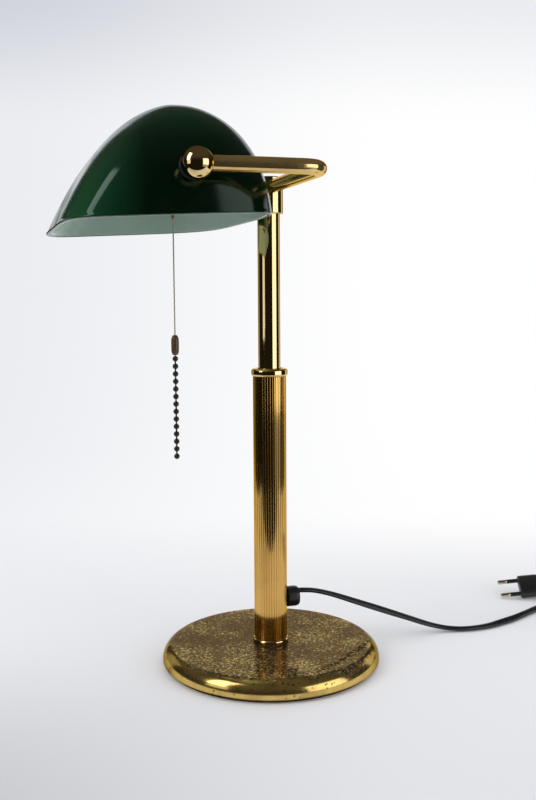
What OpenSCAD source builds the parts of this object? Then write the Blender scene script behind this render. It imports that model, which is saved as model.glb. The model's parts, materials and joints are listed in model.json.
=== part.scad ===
// Desk lamp in polished brass with a cased green glass shade.
// Millimetres. Z is up, X runs along the shade, the lamp's front faces -Y.
// The origin is the middle of the felt's underside, on the axis of the column.

/* [Base] */
// Diameter of the round base
base_d = 170; // [150:1:200]
// Height of the brass base above the felt, which its rounded rim shares
base_h = 14.5; // [12:0.5:18]
// Thickness of the brass skin of the base
base_wall = 2; // [1.5:0.1:2.5]
// Thickness of the felt under the base
felt_t = 1.5; // [1:0.1:3]
// How far the felt's edge sits in from the widest part of the base
felt_inset = 4; // [3:0.5:12]
// Thickness of the steel plate that closes the base
plate_t = 1.5; // [1:0.1:2]

/* [Column] */
// Outside diameter of the reeded column, over the reeds
column_d = 25.5; // [24.5:0.1:32]
// Thickness of the column's tube under the reeds
column_wall = 1.5; // [1.2:0.1:2]
// Length of the column, from the base to its collar
column_h = 209; // [180:1:260]
// Number of reeds round the column
reeds = 40; // [30:1:48]
// Height of one reed
reed_depth = 0.6; // [0.3:0.05:0.8]
// Height of the bead ring round the column's foot
foot_h = 3.5; // [2:0.5:6]
// How far the foot ring stands out from the column
foot_out = 1.1; // [0.6:0.1:2]
// Height of the collar on top of the column
collar_h = 6; // [5:0.5:9]
// How far the collar stands out from the column
collar_out = 1.3; // [0.8:0.1:3]

/* [Stem] */
// Outside diameter of the sliding stem
stem_d = 17; // [15:0.1:17.5]
// Thickness of the stem's wall
stem_wall = 1.5; // [1:0.1:2]
// Length of stem that shows between collar and hub at rest
stem_show = 116; // [90:1:125]
// Length of stem inside the column at rest
stem_in = 81; // [70:1:95]
// Length of the guide bush under the collar
bush_h = 20; // [16:1:24]
// Length of the guide ring on the lower end of the stem
glide_h = 15; // [10:1:20]
// Diameter of the hub that carries the yoke
hub_d = 22; // [20:0.5:26]
// Height of the hub
hub_h = 27; // [24:0.5:32]
// Depth to which the stem enters the hub
hub_seat = 9; // [6:0.5:11]
// Height of the yoke's axis above the hub's lower face
hub_axis = 19.5; // [18:0.5:20]

/* [Yoke] */
// Distance from the shade's end, at its rim, to the middle of the arm beside it
arm_gap = 13; // [12.5:0.5:18]
// Distance from the crossbar to the axis on which the shade tilts
yoke_l = 82; // [80:0.5:95]
// Outside diameter of the yoke's tube
yoke_d = 10; // [8:0.5:11]
// Thickness of the yoke tube's wall
yoke_wall = 1; // [0.8:0.1:1.5]
// Radius of the yoke's two bends at the middle of the tube
bend_r = 14; // [11:0.5:20]
// Diameter of the ball on each arm's end
ball_d = 20; // [18:0.5:24]
// Depth to which the arm and the threaded tube enter the ball
ball_seat = 6; // [4:0.5:6.5]

/* [Shade] */
// Length of the shade at its rim
shade_w = 220; // [205:1:222]
// Height of the shade from rim to crown
shade_h = 79.5; // [76:0.5:90]
// Reach of the rim in front of the crown
shade_front = 82; // [70:1:95]
// Reach of the rim behind the crown
shade_rear = 60.5; // [50:0.5:62]
// Distance of the crown behind the tilt axis
crown_back = 3; // [-5:1:4]
// Height of the crown above the tilt axis
crown_up = 50; // [45:0.5:56]
// Distance of the rim's widest place in front of the crown
widest_front = 25; // [10:1:40]
// Thickness of the glass
glass_t = 3.5; // [2.5:0.1:4.5]
// Tilt of the shade at rest, front down, in degrees
shade_tilt = 2.6; // [0:0.1:4]

/* [Lampholder and lamp] */
// Distance from the shade's end, at its rim, to the lampholder's cap
holder_gap = 37; // [34:1:42]
// Diameter of the lampholder
holder_d = 39; // [36:0.5:41]
// Length of the lampholder
holder_l = 54; // [50:1:60]
// Inside diameter of the screw shell
shell_d = 26.8; // [26.6:0.1:27.2]
// Diameter of the candle lamp's glass
bulb_d = 36; // [33:1:38]
// Length of the candle lamp, with its cap
bulb_l = 95; // [88:1:100]
// Outside diameter of the threaded tubes that carry the shade
pivot_d = 10; // [8:0.5:10]

/* [Pull switch] */
// Distance of the switch's lever, and of the pull string, from the lampholder's cap
lever_z = 28; // [26:0.5:31]
// Height of the chain's lower end above the table
chain_low = 171; // [120:1:200]
// Number of beads on the chain
beads = 14; // [8:1:20]
// Diameter of one bead
bead_d = 3.9; // [3:0.1:4.5]
// Distance from bead to bead
bead_pitch = 5.5; // [5:0.1:6.5]
// Length of the brown connector between string and chain
connector_l = 13; // [10:0.5:16]
// Diameter of the pull string
string_d = 1; // [0.8:0.1:1.4]
// Travel of the pull switch
pull_travel = 8; // [5:0.5:9]

/* [Mains lead] */
// Width of the flat twin lead
lead_w = 5.6; // [5:0.1:5.8]
// Thickness of the flat twin lead
lead_t = 3.8; // [3.2:0.1:4]
// Diameter of the black gland on the column's back
gland_d = 15.8; // [14:0.2:17]
// How far the gland stands out from the column
gland_out = 9.5; // [7:0.5:12]
// Height of the gland's axis above the base
gland_up = 34; // [28:1:36]
// Radius of the coil's innermost turn
coil_in_r = 24; // [23:0.5:30]
// Turns in one layer of the coil
coil_turns = 3.125; // [2.125:1:4.125]
// Clear space between neighbouring turns of the coil
coil_gap = 0.6; // [0.55:0.05:1]
// Length of the plug's body
plug_l = 34; // [30:1:40]
// Width of the plug's body
plug_w = 26; // [24:0.5:30]
// Thickness of the plug's body
plug_t = 12.5; // [11:0.5:14]
// Length of the plug's pins
pin_l = 19; // [18:0.5:19]
// Diameter of the plug's pins
pin_d = 4; // [3.8:0.1:4.2]
// Distance between the plug's two pins
pin_gap = 19; // [17:0.5:19]

/* [Hidden] */
$fn = 64;

// Colours
brass = [0.83, 0.66, 0.30];
old_brass = [0.45, 0.36, 0.20];
glass_green = [0.05, 0.24, 0.12];
black = [0.06, 0.06, 0.06];
steel = [0.60, 0.60, 0.62];
iron = [0.25, 0.25, 0.26];
cream = [0.90, 0.86, 0.74];

// Clearances: running between turning pieces, seat between fixed ones, drill for screws through plates
running = 0.05;
seat = 0.02;
drill = 0.2;
face = 0.05;
cut = 1;

// Heights of the standing parts
base_r = base_d / 2;
rim_r = base_h / 2;
flat_r = base_r - rim_r;
base_top = felt_t + base_h;
cavity_top = base_top - base_wall;
plate_top = felt_t + plate_t;
column_r = column_d / 2;
column_in = column_r - reed_depth - column_wall;
column_top = base_top + column_h;
collar_top = column_top + collar_h;
stem_r = stem_d / 2;
stem_in_r = stem_r - stem_wall;
hub_low = collar_top + stem_show;
hub_r = hub_d / 2;
hub_top = hub_low + hub_h;
yoke_z = hub_low + hub_axis;
stem_low = collar_top - stem_in;
stem_high = hub_low + hub_seat;

// Screw work inside the base
nipple_r = 5;
nipple_in = 3.5;
nut_h = 4;
nut_across = 17;
washer_r = 12;
washer_t = 1.2;
pocket_r = 14;
pocket_h = 8;
plug_h = 12;
nipple_low = plate_top + 1;
nipple_top = base_top + plug_h - 2;
washer_z = plate_top + pocket_h - washer_t;
nut_z = washer_z - nut_h - face;

// Gland and the hole for it
gland_z = base_top + gland_up;
gland_r = gland_d / 2;
gland_neck = 5;
gland_end = column_r + gland_out;
gland_root = column_in - 3.4;
gland_nut_t = 2;
lead_rise = 4;
lead_z = gland_z + lead_rise;

// Yoke, hub and pivots
yoke_r = yoke_d / 2;
yoke_in = yoke_r - yoke_wall;
arm_x = shade_w / 2 + arm_gap;
pivot_y = -yoke_l;
pivot_z = yoke_z;
ball_r = ball_d / 2;
pivot_r = pivot_d / 2;
pivot_seat = ball_r - yoke_r - 0.5;
pivot_in = pivot_r - 1.5;
channel_r = 2.6;
hub_hole = 5;
screw_r = 2;

// Shade: how each direction's outline closes on the rim, and how square the rim is
end_power = 3.0;
front_power = 1.96;
rear_power = 2.36;
end_share = 0.93;
front_share = 0.16;
rear_share = 1;
front_square = 5.6;
rear_square = 4.6;
around = 64;
levels = 15;
rest_tilt = shade_tilt;
// Drop from crown to tilt axis, as a share of the shade's height
axis_share = crown_up / shade_h;
wall_x = shade_w / 2 * closing(axis_share, end_power, end_share);
grommet_r = 8.5;
grommet_hole = 6.4;
flange_t = 2.6;
grommet_out = wall_x + 2;
grommet_low = wall_x - glass_t - flange_t - 1;
inner_washer_t = 1.2;
inner_washer_r = 8.5;
pivot_nut_t = 4;
pivot_nut_across = 14;
spacer_r = 7.5;
ball_flat = arm_x - ball_r + 0.6;

// Lampholder, measured from the cap's end towards the lamp
holder_x = shade_w / 2 - holder_gap;
cap_l = 24;
cap_wall = 1;
sleeve_z = 24;
sleeve_wall = 1.2;
core_z = 7;
core_l = 25;
shell_z = core_z + core_l;
shell_wall = 0.5;
cap_in = shell_z + 3.2;
bulb_neck = cap_in + 24;
bulb_end = cap_in + bulb_l;
string_x = holder_x - lever_z;
flange_z = pivot_z - 6.3;

// Pull string and chain
string_top = pivot_z - holder_d / 2 - 6;
chain_top = chain_low + (beads - 1) * bead_pitch + bead_d;
connector_top = chain_top + connector_l - 2.5;

// Route of the lead over the table: x, y, z and the turn of its flat side, chosen by hand
LEAD_ROUTE = [
    [0, 34, 53, 0], [-2, 44, 50, 10], [-4, 56, 45.5, 20], [-6, 70, 39.5, 35], [-8, 84, 33.5, 45],
    [-10, 98, 27.5, 50], [-12, 112, 21.5, 45], [-14, 126, 15.5, 35], [-15, 139, 10, 25], [-15, 150, 6, 12],
    [-13, 161, 3.4, 5], [-10, 173, 2.4, 0], [-8.5, 186, 2.4, 0], [-9.5, 200, 2.5, 15], [-13, 214, 2.9, 40],
    [-18, 229, 3, 65], [-25, 244, 3.1, 80], [-32, 258, 3.1, 75], [-37, 270, 3, 55], [-38, 281, 2.9, 35],
    [-32, 291.5, 2.8, 15], [-21, 297.5, 2.8, 0]];
// Point at which the lead joins its coil, and the plug's face, chosen by hand
COIL_START = [-7, 299];
PLUG_FACE = [-78, 271, 9];
plug_lean = 22;
plug_turn = 23;
plug_dip = 7.5;

// Coil
coil_pitch = lead_w + coil_gap;
coil_step = lead_t + coil_gap;
coil_out_r = coil_in_r + coil_turns * coil_pitch;
coil_mid = [COIL_START[0], COIL_START[1] + coil_out_r];
tie_t = 0.6;
tie_w = 6;
coil_z = tie_t + 0.3 + lead_t / 2;
coil_all = 2 * coil_turns + 0.5;
COIL_RINGS = 24;

// Vectors and curves
function unit(v) = v / norm(v);
function last(list) = list[len(list) - 1];
// Smooth curve through points, with steps between each two
function through(p, steps) = concat(
    [for (i = [0 : len(p) - 2]) for (k = [0 : steps - 1])
        let (a = p[max(i - 1, 0)], b = p[i], c = p[i + 1], d = p[min(i + 2, len(p) - 1)], t = k / steps)
        0.5 * (2 * b + (c - a) * t + (2 * a - 5 * b + 4 * c - d) * t * t + (3 * b - a - 3 * c + d) * t * t * t)],
    [last(p)]);
function xyz(p) = [p[0], p[1], p[2]];
function tangents(p) = [for (i = [0 : len(p) - 1])
    unit(xyz(p[min(i + 1, len(p) - 1)]) - xyz(p[max(i - 1, 0)]))];
// Side vectors that follow the path without turning about it
function sides(t, first) = [for (i = 0, s = unit(first - (first * t[0]) * t[0]); i < len(t);
    i = i + 1, s = i < len(t) ? unit(s - (s * t[i]) * t[i]) : s) s];
function length(p) = len(p) < 2 ? 0 : [for (i = 1, s = norm(xyz(p[1]) - xyz(p[0])); i < len(p);
    i = i + 1, s = i < len(p) ? s + norm(xyz(p[i]) - xyz(p[i - 1])) : s) s][len(p) - 2];
// Side vectors that stay level along the path
function level_sides(t) = [for (v = t) unit(cross([0, 0, 1], v))];
// Tube with an oval section of width w and thickness t, turned by p's fourth value from level, or from first if it is given
module tube(p, w, t, n, first) {
    tg = tangents(p);
    sd = is_undef(first) ? level_sides(tg) : sides(tg, first);
    rings = [for (i = [0 : len(p) - 1]) let (u = sd[i], v = cross(tg[i], sd[i]), q = len(p[i]) > 3 ? p[i][3] : 0)
        for (k = [0 : n - 1]) let (a = 360 * (k + 0.5) / n, x = w / 2 * cos(a), y = t / 2 * sin(a))
            xyz(p[i]) + u * (x * cos(q) - y * sin(q)) + v * (x * sin(q) + y * cos(q))];
    m = len(p);
    skin = [for (i = [0 : m - 2]) for (k = [0 : n - 1]) let (j = (k + 1) % n)
        each [[i * n + k, (i + 1) * n + j, i * n + j], [i * n + k, (i + 1) * n + k, (i + 1) * n + j]]];
    near = [for (k = [1 : n - 2]) [0, k, k + 1]];
    far = [for (k = [1 : n - 2]) [(m - 1) * n, (m - 1) * n + k + 1, (m - 1) * n + k]];
    polyhedron(points = rings, faces = concat(skin, near, far), convexity = 6);
}

// Outline of the shade
// Share of its full reach that a curve of this power has at drop z, from 0 at the crown to 1 at the rim
function closing(z, power, share) =
    pow(1 - pow(abs(1 - z * share), power), 1 / power) / pow(1 - pow(1 - share, power), 1 / power);
// Point of the outside, at drop z and plan angle a, in the shade's own frame; t thins it all round for the inside
function shade_point(z, a, t) =
    let (ends = (shade_w / 2 - t) * closing(z, end_power, end_share),
         front = (shade_front - t) * closing(z, front_power, front_share),
         rear = (shade_rear - t) * closing(z, rear_power, rear_share),
         middle = -widest_front * z,
         square = 2 + ((sin(a) < 0 ? front_square : rear_square) - 2) * z,
         k = pow(pow(abs(cos(a)), square) + pow(abs(sin(a)), square), -1 / square))
    [ends * cos(a) * k,
     crown_back + middle + (sin(a) < 0 ? front + middle : rear - middle) * sin(a) * k,
     crown_up - t - (shade_h - t) * z];
function level(i) = pow(i / levels, 1.4);

// Base
module base_shell() {
    color(brass) rotate_extrude($fn = 128) difference() {
        union() {
            translate([0, felt_t]) square([flat_r, base_h]);
            translate([flat_r, felt_t + rim_r]) circle(r = rim_r, $fn = 64);
        }
        translate([0, felt_t - cut]) square([flat_r, cavity_top - felt_t + cut]);
        translate([flat_r, felt_t + rim_r]) circle(r = rim_r - base_wall, $fn = 64);
        translate([0, felt_t]) square([nipple_r + drill, base_h + cut]);
    }
}
module ballast() {
    color(iron) difference() {
        translate([0, 0, plate_top]) cylinder(r = flat_r - 2 * drill, h = cavity_top - plate_top);
        translate([0, 0, plate_top - cut]) cylinder(r = pocket_r, h = pocket_h + cut);
        translate([0, 0, plate_top]) cylinder(r = nipple_r + drill, h = cavity_top);
    }
}
module bottom_plate() {
    color(steel) translate([0, 0, felt_t]) cylinder(r = flat_r - drill, h = plate_t);
}
module felt_pad() {
    color([0.16, 0.11, 0.08]) cylinder(r = base_r - felt_inset, h = felt_t);
}
module threaded_nipple() {
    color(steel) difference() {
        translate([0, 0, nipple_low]) cylinder(r = nipple_r, h = nipple_top - nipple_low);
        translate([0, 0, nipple_low - cut]) cylinder(r = nipple_in, h = nipple_top);
    }
}
module base_washer() {
    color(steel) difference() {
        translate([0, 0, washer_z]) cylinder(r = washer_r, h = washer_t);
        translate([0, 0, washer_z - cut]) cylinder(r = nipple_r + drill, h = washer_t + 2 * cut);
    }
}
module hexagon(across, h, bore) {
    difference() {
        cylinder(r = across / 2 / cos(30), h = h, $fn = 6);
        translate([0, 0, -cut]) cylinder(r = bore, h = h + 2 * cut);
    }
}
module base_nut() {
    color(steel) translate([0, 0, nut_z]) hexagon(nut_across, nut_h, nipple_r + seat);
}

// Column
module column_plug() {
    color(brass) difference() {
        translate([0, 0, base_top]) cylinder(r = column_in - seat, h = plug_h);
        translate([0, 0, base_top - cut]) cylinder(r = nipple_r + seat, h = plug_h + 2 * cut);
    }
}
module foot_ring() {
    bead = foot_h / 2;
    color(brass) rotate_extrude() difference() {
        union() {
            translate([0, base_top]) square([column_r + foot_out - bead + seat, foot_h]);
            translate([column_r + foot_out - bead + seat, base_top + bead]) circle(r = bead);
        }
        translate([0, base_top - cut]) square([column_r + seat, foot_h + 2 * cut]);
    }
}
// Outline of the reeded tube: each reed is a round rib
REED_STEPS = [-1, -0.8, -0.4, 0, 0.4, 0.8];
module reeded_outline() {
    polygon([for (i = [0 : reeds - 1]) for (u = REED_STEPS)
        let (a = 360 * (i + u / 2) / reeds, r = column_r - reed_depth * (1 - sqrt(1 - 0.98 * u * u)))
        [r * cos(a), r * sin(a)]]);
}
module column() {
    color(brass) difference() {
        translate([0, 0, base_top]) linear_extrude(column_h) reeded_outline();
        translate([0, 0, base_top - cut]) cylinder(r = column_in, h = column_h + 2 * cut);
        translate([0, 0, gland_z]) rotate([-90, 0, 0]) cylinder(r = gland_neck + seat, h = 2 * column_r);
    }
}
module column_collar() {
    bead = collar_h / 2;
    middle = column_r + collar_out - bead;
    color(brass) rotate_extrude() difference() {
        union() {
            translate([0, column_top]) square([middle, collar_h]);
            translate([middle, column_top + bead]) circle(r = bead);
        }
        translate([0, column_top - cut]) square([stem_r + 4 * running, collar_h + 2 * cut]);
    }
}

// Gland, and the lead inside the column
module along_y(y) {
    translate([0, y, gland_z]) rotate([-90, 0, 0]) children();
}
module lead_slot(y, h) {
    translate([0, y, lead_z]) rotate([-90, 0, 0]) cylinder(r = lead_w / 2 + seat, h = h);
}
module cord_gland() {
    color(black) difference() {
        union() {
            along_y(column_r + running) cylinder(r = gland_r, h = gland_out - 2);
            along_y(gland_end - 2 + running) cylinder(r1 = gland_r, r2 = gland_r - 1.2, h = 2 - running);
            along_y(gland_root) cylinder(r = gland_neck, h = column_r - gland_root + 1);
        }
        along_y(gland_root - cut) cylinder(r = gland_neck - 1.2, h = column_r - gland_root + 4);
        lead_slot(column_r - 1, gland_out + 4);
    }
}
module gland_nut() {
    color(black) intersection() {
        along_y(gland_root + 0.4) difference() {
            cylinder(r = 7, h = gland_nut_t);
            translate([0, 0, -cut]) cylinder(r = gland_neck + seat, h = gland_nut_t + 2 * cut);
        }
        cylinder(r = column_in - seat, h = column_top);
    }
}
module column_lead() {
    path = through([[0, column_r, lead_z - 3], [0, gland_root, lead_z - 3.5], [0, 3, lead_z + 2],
        [0, -2, lead_z + 14], [0, 3, lead_z + 32], [0, -3, lead_z + 52], [0, 0, lead_z + 72],
        [0, 0, stem_low - 0.3]], 4);
    color(black) tube(path, 3.6, 3.6, 8, [1, 0, 0]);
}

// Stem
module glide_bush() {
    color(cream) difference() {
        translate([0, 0, column_top - bush_h]) cylinder(r = column_in - running, h = bush_h - face);
        translate([0, 0, column_top - bush_h - cut]) cylinder(r = stem_r + running, h = bush_h + 2 * cut);
    }
}
module stem() {
    color(brass) difference() {
        translate([0, 0, stem_low]) cylinder(r = stem_r, h = stem_high - stem_low);
        translate([0, 0, stem_low - cut]) cylinder(r = stem_in_r, h = stem_high - stem_low + 2 * cut);
    }
}
module stem_glide() {
    color(cream) difference() {
        translate([0, 0, stem_low]) cylinder(r = column_in - running, h = glide_h);
        translate([0, 0, stem_low - cut]) cylinder(r = stem_r + seat, h = glide_h + 2 * cut);
    }
}
module hub() {
    bevel = 0.8;
    color(brass) difference() {
        union() {
            translate([0, 0, hub_low]) cylinder(r = hub_r, h = hub_h - bevel);
            translate([0, 0, hub_top - bevel]) cylinder(r1 = hub_r, r2 = hub_r - bevel, h = bevel);
        }
        translate([0, 0, hub_low - cut]) cylinder(r = stem_r + seat, h = hub_seat + cut);
        translate([0, 0, hub_low]) cylinder(r = hub_hole, h = hub_axis);
        translate([-hub_d, 0, yoke_z]) rotate([0, 90, 0]) cylinder(r = yoke_r + seat, h = 2 * hub_d);
        for (z = screw_heights) translate([0, 0, z]) rotate([-90, 0, 0]) cylinder(r = screw_r + seat, h = hub_d);
    }
}
screw_heights = [hub_low + hub_seat / 2, yoke_z];
screw_starts = [stem_r + face, yoke_r + face];
module hub_screws() {
    color(steel) for (i = [0, 1]) translate([0, screw_starts[i] + seat, screw_heights[i]]) rotate([-90, 0, 0])
        difference() {
            cylinder(r = screw_r, h = hub_r - screw_starts[i] - 3 * screw_r / 4 * i - 0.6);
            translate([0, 0, hub_r - screw_starts[i] - 3 * screw_r / 4 * i - 2]) cylinder(r = 1, h = 3, $fn = 6);
        }
}

// Yoke
module yoke_solid(r) {
    translate([-(arm_x - bend_r), 0, yoke_z]) rotate([0, 90, 0]) cylinder(r = r, h = 2 * (arm_x - bend_r));
    for (s = [-1, 1]) {
        translate([s * (arm_x - bend_r), -bend_r, yoke_z]) rotate([0, 0, s > 0 ? 0 : 90])
            rotate_extrude(angle = 90) translate([bend_r, 0]) circle(r = r);
        translate([s * arm_x, pivot_y + ball_r - ball_seat, yoke_z]) rotate([-90, 0, 0])
            cylinder(r = r, h = yoke_l - bend_r - ball_r + ball_seat);
    }
}
module yoke() {
    color(brass) difference() {
        yoke_solid(yoke_r);
        yoke_solid(yoke_in);
        for (s = [-1, 1]) translate([s * arm_x, pivot_y - cut, yoke_z]) rotate([-90, 0, 0])
            cylinder(r = yoke_in, h = ball_r);
        translate([0, 0, hub_low]) cylinder(r = yoke_in - 0.5, h = hub_axis);
    }
}
module yoke_balls() {
    color(brass) for (s = [-1, 1]) difference() {
        inwards(arm_x, s) rotate_extrude() difference() {
            intersection() {
                circle(r = ball_r);
                translate([0, -ball_r]) square([ball_r, arm_x - ball_flat + ball_r]);
            }
            translate([0, ball_r - pivot_seat]) square([pivot_r + seat, ball_r]);
            translate([0, -channel_r]) square([channel_r, ball_r]);
        }
        translate([s * arm_x, pivot_y + ball_r - ball_seat, pivot_z]) rotate([-90, 0, 0])
            cylinder(r = yoke_r + seat, h = ball_r);
        translate([s * arm_x, pivot_y - channel_r, pivot_z]) rotate([-90, 0, 0]) cylinder(r = channel_r, h = ball_r);
    }
}
// Turns a part drawn along +Z so that it runs from x towards the lamp's middle, on the tilt axis
module inwards(x, s = 1) {
    translate([s * x, pivot_y, pivot_z]) rotate([0, -s * 90, 0]) children();
}
pivot_start = arm_x - ball_r + pivot_seat;
nut_low = grommet_low - face - inner_washer_t - pivot_nut_t;
module pivot_tube() {
    color(brass) inwards(pivot_start) difference() {
        cylinder(r = pivot_r, h = pivot_start - holder_x + core_z - 1);
        translate([0, 0, -cut]) cylinder(r = pivot_in, h = pivot_start);
    }
}
module pivot_stud() {
    color(brass) inwards(pivot_start, -1) cylinder(r = pivot_r, h = pivot_start - nut_low + 1.5);
}
module pivot_spacers() {
    color(brass) for (s = [-1, 1]) inwards(ball_flat, s) difference() {
        cylinder(r = spacer_r, h = ball_flat - grommet_out - face);
        translate([0, 0, -cut]) cylinder(r = pivot_r + seat, h = 20);
    }
}
module pivot_washers() {
    color(brass) for (s = [-1, 1]) inwards(grommet_low - face, s) difference() {
        cylinder(r = inner_washer_r, h = inner_washer_t);
        translate([0, 0, -cut]) cylinder(r = pivot_r + seat, h = 5);
    }
}
module pivot_nuts() {
    color(brass) for (s = [-1, 1]) inwards(nut_low + pivot_nut_t, s)
        hexagon(pivot_nut_across, pivot_nut_t, pivot_r + seat);
}

// Lampholder on the near threaded tube
holder_r = holder_d / 2;
module holder_cap() {
    color(brass) inwards(holder_x) rotate_extrude() difference() {
        union() {
            square([8, 5]);
            intersection() {
                translate([0, 16]) scale(1) circle(r = holder_r - 0.5);
                translate([0, 3]) square([holder_r, cap_l]);
            }
            translate([0, 16]) square([holder_r - 0.5, cap_l - 16]);
        }
        intersection() {
            translate([0, 16]) circle(r = holder_r - 0.5 - cap_wall);
            translate([0, 4.5]) square([holder_r, cap_l]);
        }
        translate([0, 16]) square([holder_r - 0.5 - cap_wall, cap_l]);
        translate([0, -cut]) square([pivot_r + seat, cap_l]);
    }
}
module lever_slot(grow) {
    inwards(holder_x) translate([-holder_r - 3, -2 - grow, lever_z - 2 - grow])
        cube([holder_r - 3, 4 + 2 * grow, 4 + 2 * grow]);
}
module holder_core() {
    core_r = holder_r - 0.5 - cap_wall - 0.6;
    color([0.85, 0.84, 0.80]) difference() {
        inwards(holder_x) union() {
            intersection() {
                translate([0, 0, core_z]) cylinder(r = core_r, h = core_l);
                translate([0, 0, 16]) sphere(r = core_r, $fn = 64);
            }
            translate([0, 0, 16]) cylinder(r = core_r - 0.5, h = core_z + core_l - 16);
        }
        inwards(holder_x) translate([0, 0, -cut]) cylinder(r = pivot_r + seat, h = core_z + cut);
        inwards(holder_x) translate([0, 0, core_z - cut]) cylinder(r = channel_r, h = 14);
        lever_slot(0.5);
        inwards(holder_x) translate([-holder_r + 4, 0, lever_z]) rotate([0, 90, 0])
            cylinder(r = 2.6, h = holder_r - 8);
    }
}
module holder_sleeve() {
    color(brass) difference() {
        inwards(holder_x) rotate_extrude() difference() {
            union() {
                translate([0, sleeve_z + face]) square([holder_r, 3]);
                translate([0, sleeve_z + 3]) square([holder_r - 1.2, holder_l - sleeve_z - 3]);
                translate([holder_r - 1.6, holder_l - 1.2]) circle(r = 1.2);
            }
            translate([0, sleeve_z - cut]) square([holder_r - 1.2 - sleeve_wall, holder_l]);
        }
        lever_slot(-0.3);
    }
}
module socket_shell() {
    color(brass) inwards(holder_x) difference() {
        translate([0, 0, shell_z + face]) cylinder(r = shell_d / 2 + shell_wall, h = 20);
        translate([0, 0, shell_z + face + shell_wall]) cylinder(r = shell_d / 2, h = 22);
        translate([0, 0, shell_z - cut]) cylinder(r = 7, h = 5);
    }
}
module centre_contact() {
    color(brass) inwards(holder_x) {
        translate([0, 0, shell_z + face]) cylinder(r = 5, h = 0.6);
        translate([0, 0, shell_z + 0.6]) cylinder(r = 2.5, h = cap_in - shell_z - 0.6 - face);
    }
}
module bulb_cap() {
    cap_r = shell_d / 2 - 0.3;
    color(steel) inwards(holder_x) rotate_extrude() {
        translate([0, cap_in]) square([5, 1.2]);
        polygon([[0, cap_in + 1], [5, cap_in + 1], [cap_r - 2, cap_in + 5], [cap_r - 0.6, cap_in + 6],
            [cap_r - 0.6, cap_in + 23], [cap_r - 1.2, bulb_neck], [0, bulb_neck]]);
        for (i = [0 : 3]) translate([cap_r - 0.8, cap_in + 8 + 3.6 * i]) circle(r = 0.8);
    }
}
// Candle outline: radius at height h over the neck, from 0 to 1
function candle(h) = h < 0.42
    ? bulb_d / 2 * (0.66 + 0.34 * sin(90 * h / 0.42))
    : bulb_d / 2 * pow(max(0, 1 - pow((h - 0.42) / 0.58, 2)), 0.62);
CANDLE_STEPS = 20;
module bulb_glass() {
    glass_l = bulb_end - bulb_neck;
    outline = [for (i = [0 : CANDLE_STEPS]) let (h = sin(90 * i / CANDLE_STEPS)) [candle(h), bulb_neck + face + h * glass_l]];
    bore = [for (i = [CANDLE_STEPS : -1 : 0]) let (h = sin(90 * i / CANDLE_STEPS))
        [max(0, candle(h) - 1), bulb_neck + face + h * (glass_l - 1.2)]];
    color([0.97, 0.96, 0.92]) inwards(holder_x) rotate_extrude()
        polygon(concat(outline, [for (q = bore) if (q[0] > 0 || q == bore[0]) q]));
}
module yoke_lead() {
    e = arm_x;
    b = bend_r;
    path = through([[0, 0, stem_low + 0.2], [0, 0, stem_low + 40], [0, 0, hub_low - 40], [0, 0, hub_low],
        [0, 0, yoke_z - 7], [1.8, 0, yoke_z - 2], [8, 0, yoke_z], [30, 0, yoke_z], [e - b - 20, 0, yoke_z],
        [e - b, 0, yoke_z], [e - 0.29 * b, -0.29 * b, yoke_z], [e, -b, yoke_z], [e, pivot_y + 24, yoke_z],
        [e, pivot_y + 7, yoke_z], [e - 1.2, pivot_y + 1.2, yoke_z], [e - 7, pivot_y, yoke_z],
        [e - 24, pivot_y, yoke_z], [holder_x - core_z - 6, pivot_y, yoke_z]], 3);
    color(black) tube(path, 3.2, 3.2, 8, [0, 1, 0]);
}

// Shade
module shade_mesh() {
    n = around;
    rows = levels;
    outside = [for (i = [1 : rows]) for (k = [0 : n - 1]) shade_point(level(i), 360 * k / n, 0)];
    inside = [for (i = [1 : rows]) for (k = [0 : n - 1]) shade_point(level(i), 360 * k / n, glass_t)];
    points = concat(outside, inside, [shade_point(0, 0, 0)], [shade_point(0, 0, glass_t)]);
    m = rows * n;
    crown = 2 * m;
    faces = concat(
        [for (i = [0 : rows - 2]) for (k = [0 : n - 1]) let (a = i * n + k, b = i * n + (k + 1) % n)
            each [[a, b + n, a + n], [a, b, b + n]]],
        [for (i = [0 : rows - 2]) for (k = [0 : n - 1]) let (a = m + i * n + k, b = m + i * n + (k + 1) % n)
            each [[a, a + n, b + n], [a, b + n, b]]],
        [for (k = [0 : n - 1]) let (j = (k + 1) % n, a = (rows - 1) * n)
            each [[a + k, m + a + j, m + a + k], [a + k, a + j, m + a + j]]],
        [for (k = [0 : n - 1]) [crown, (k + 1) % n, k]],
        [for (k = [0 : n - 1]) [crown + 1, m + k, m + (k + 1) % n]]);
    polyhedron(points = points, faces = faces, convexity = 8);
}
module shade() {
    color(glass_green) translate([0, pivot_y, pivot_z]) rotate([rest_tilt, 0, 0]) difference() {
        shade_mesh();
        for (s = [-1, 1]) rotate([0, s * 90, 0]) translate([0, 0, wall_x - 14]) cylinder(r = grommet_hole, h = 24);
    }
}
module shade_grommets() {
    color(black) for (s = [-1, 1]) inwards(grommet_out, s) difference() {
        union() {
            cylinder(r = grommet_r, h = flange_t);
            cylinder(r = grommet_hole - seat, h = grommet_out - grommet_low);
            translate([0, 0, grommet_out - grommet_low - flange_t]) cylinder(r = grommet_r, h = flange_t);
        }
        translate([0, 0, -cut]) cylinder(r = pivot_r + running, h = 20);
    }
}

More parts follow.
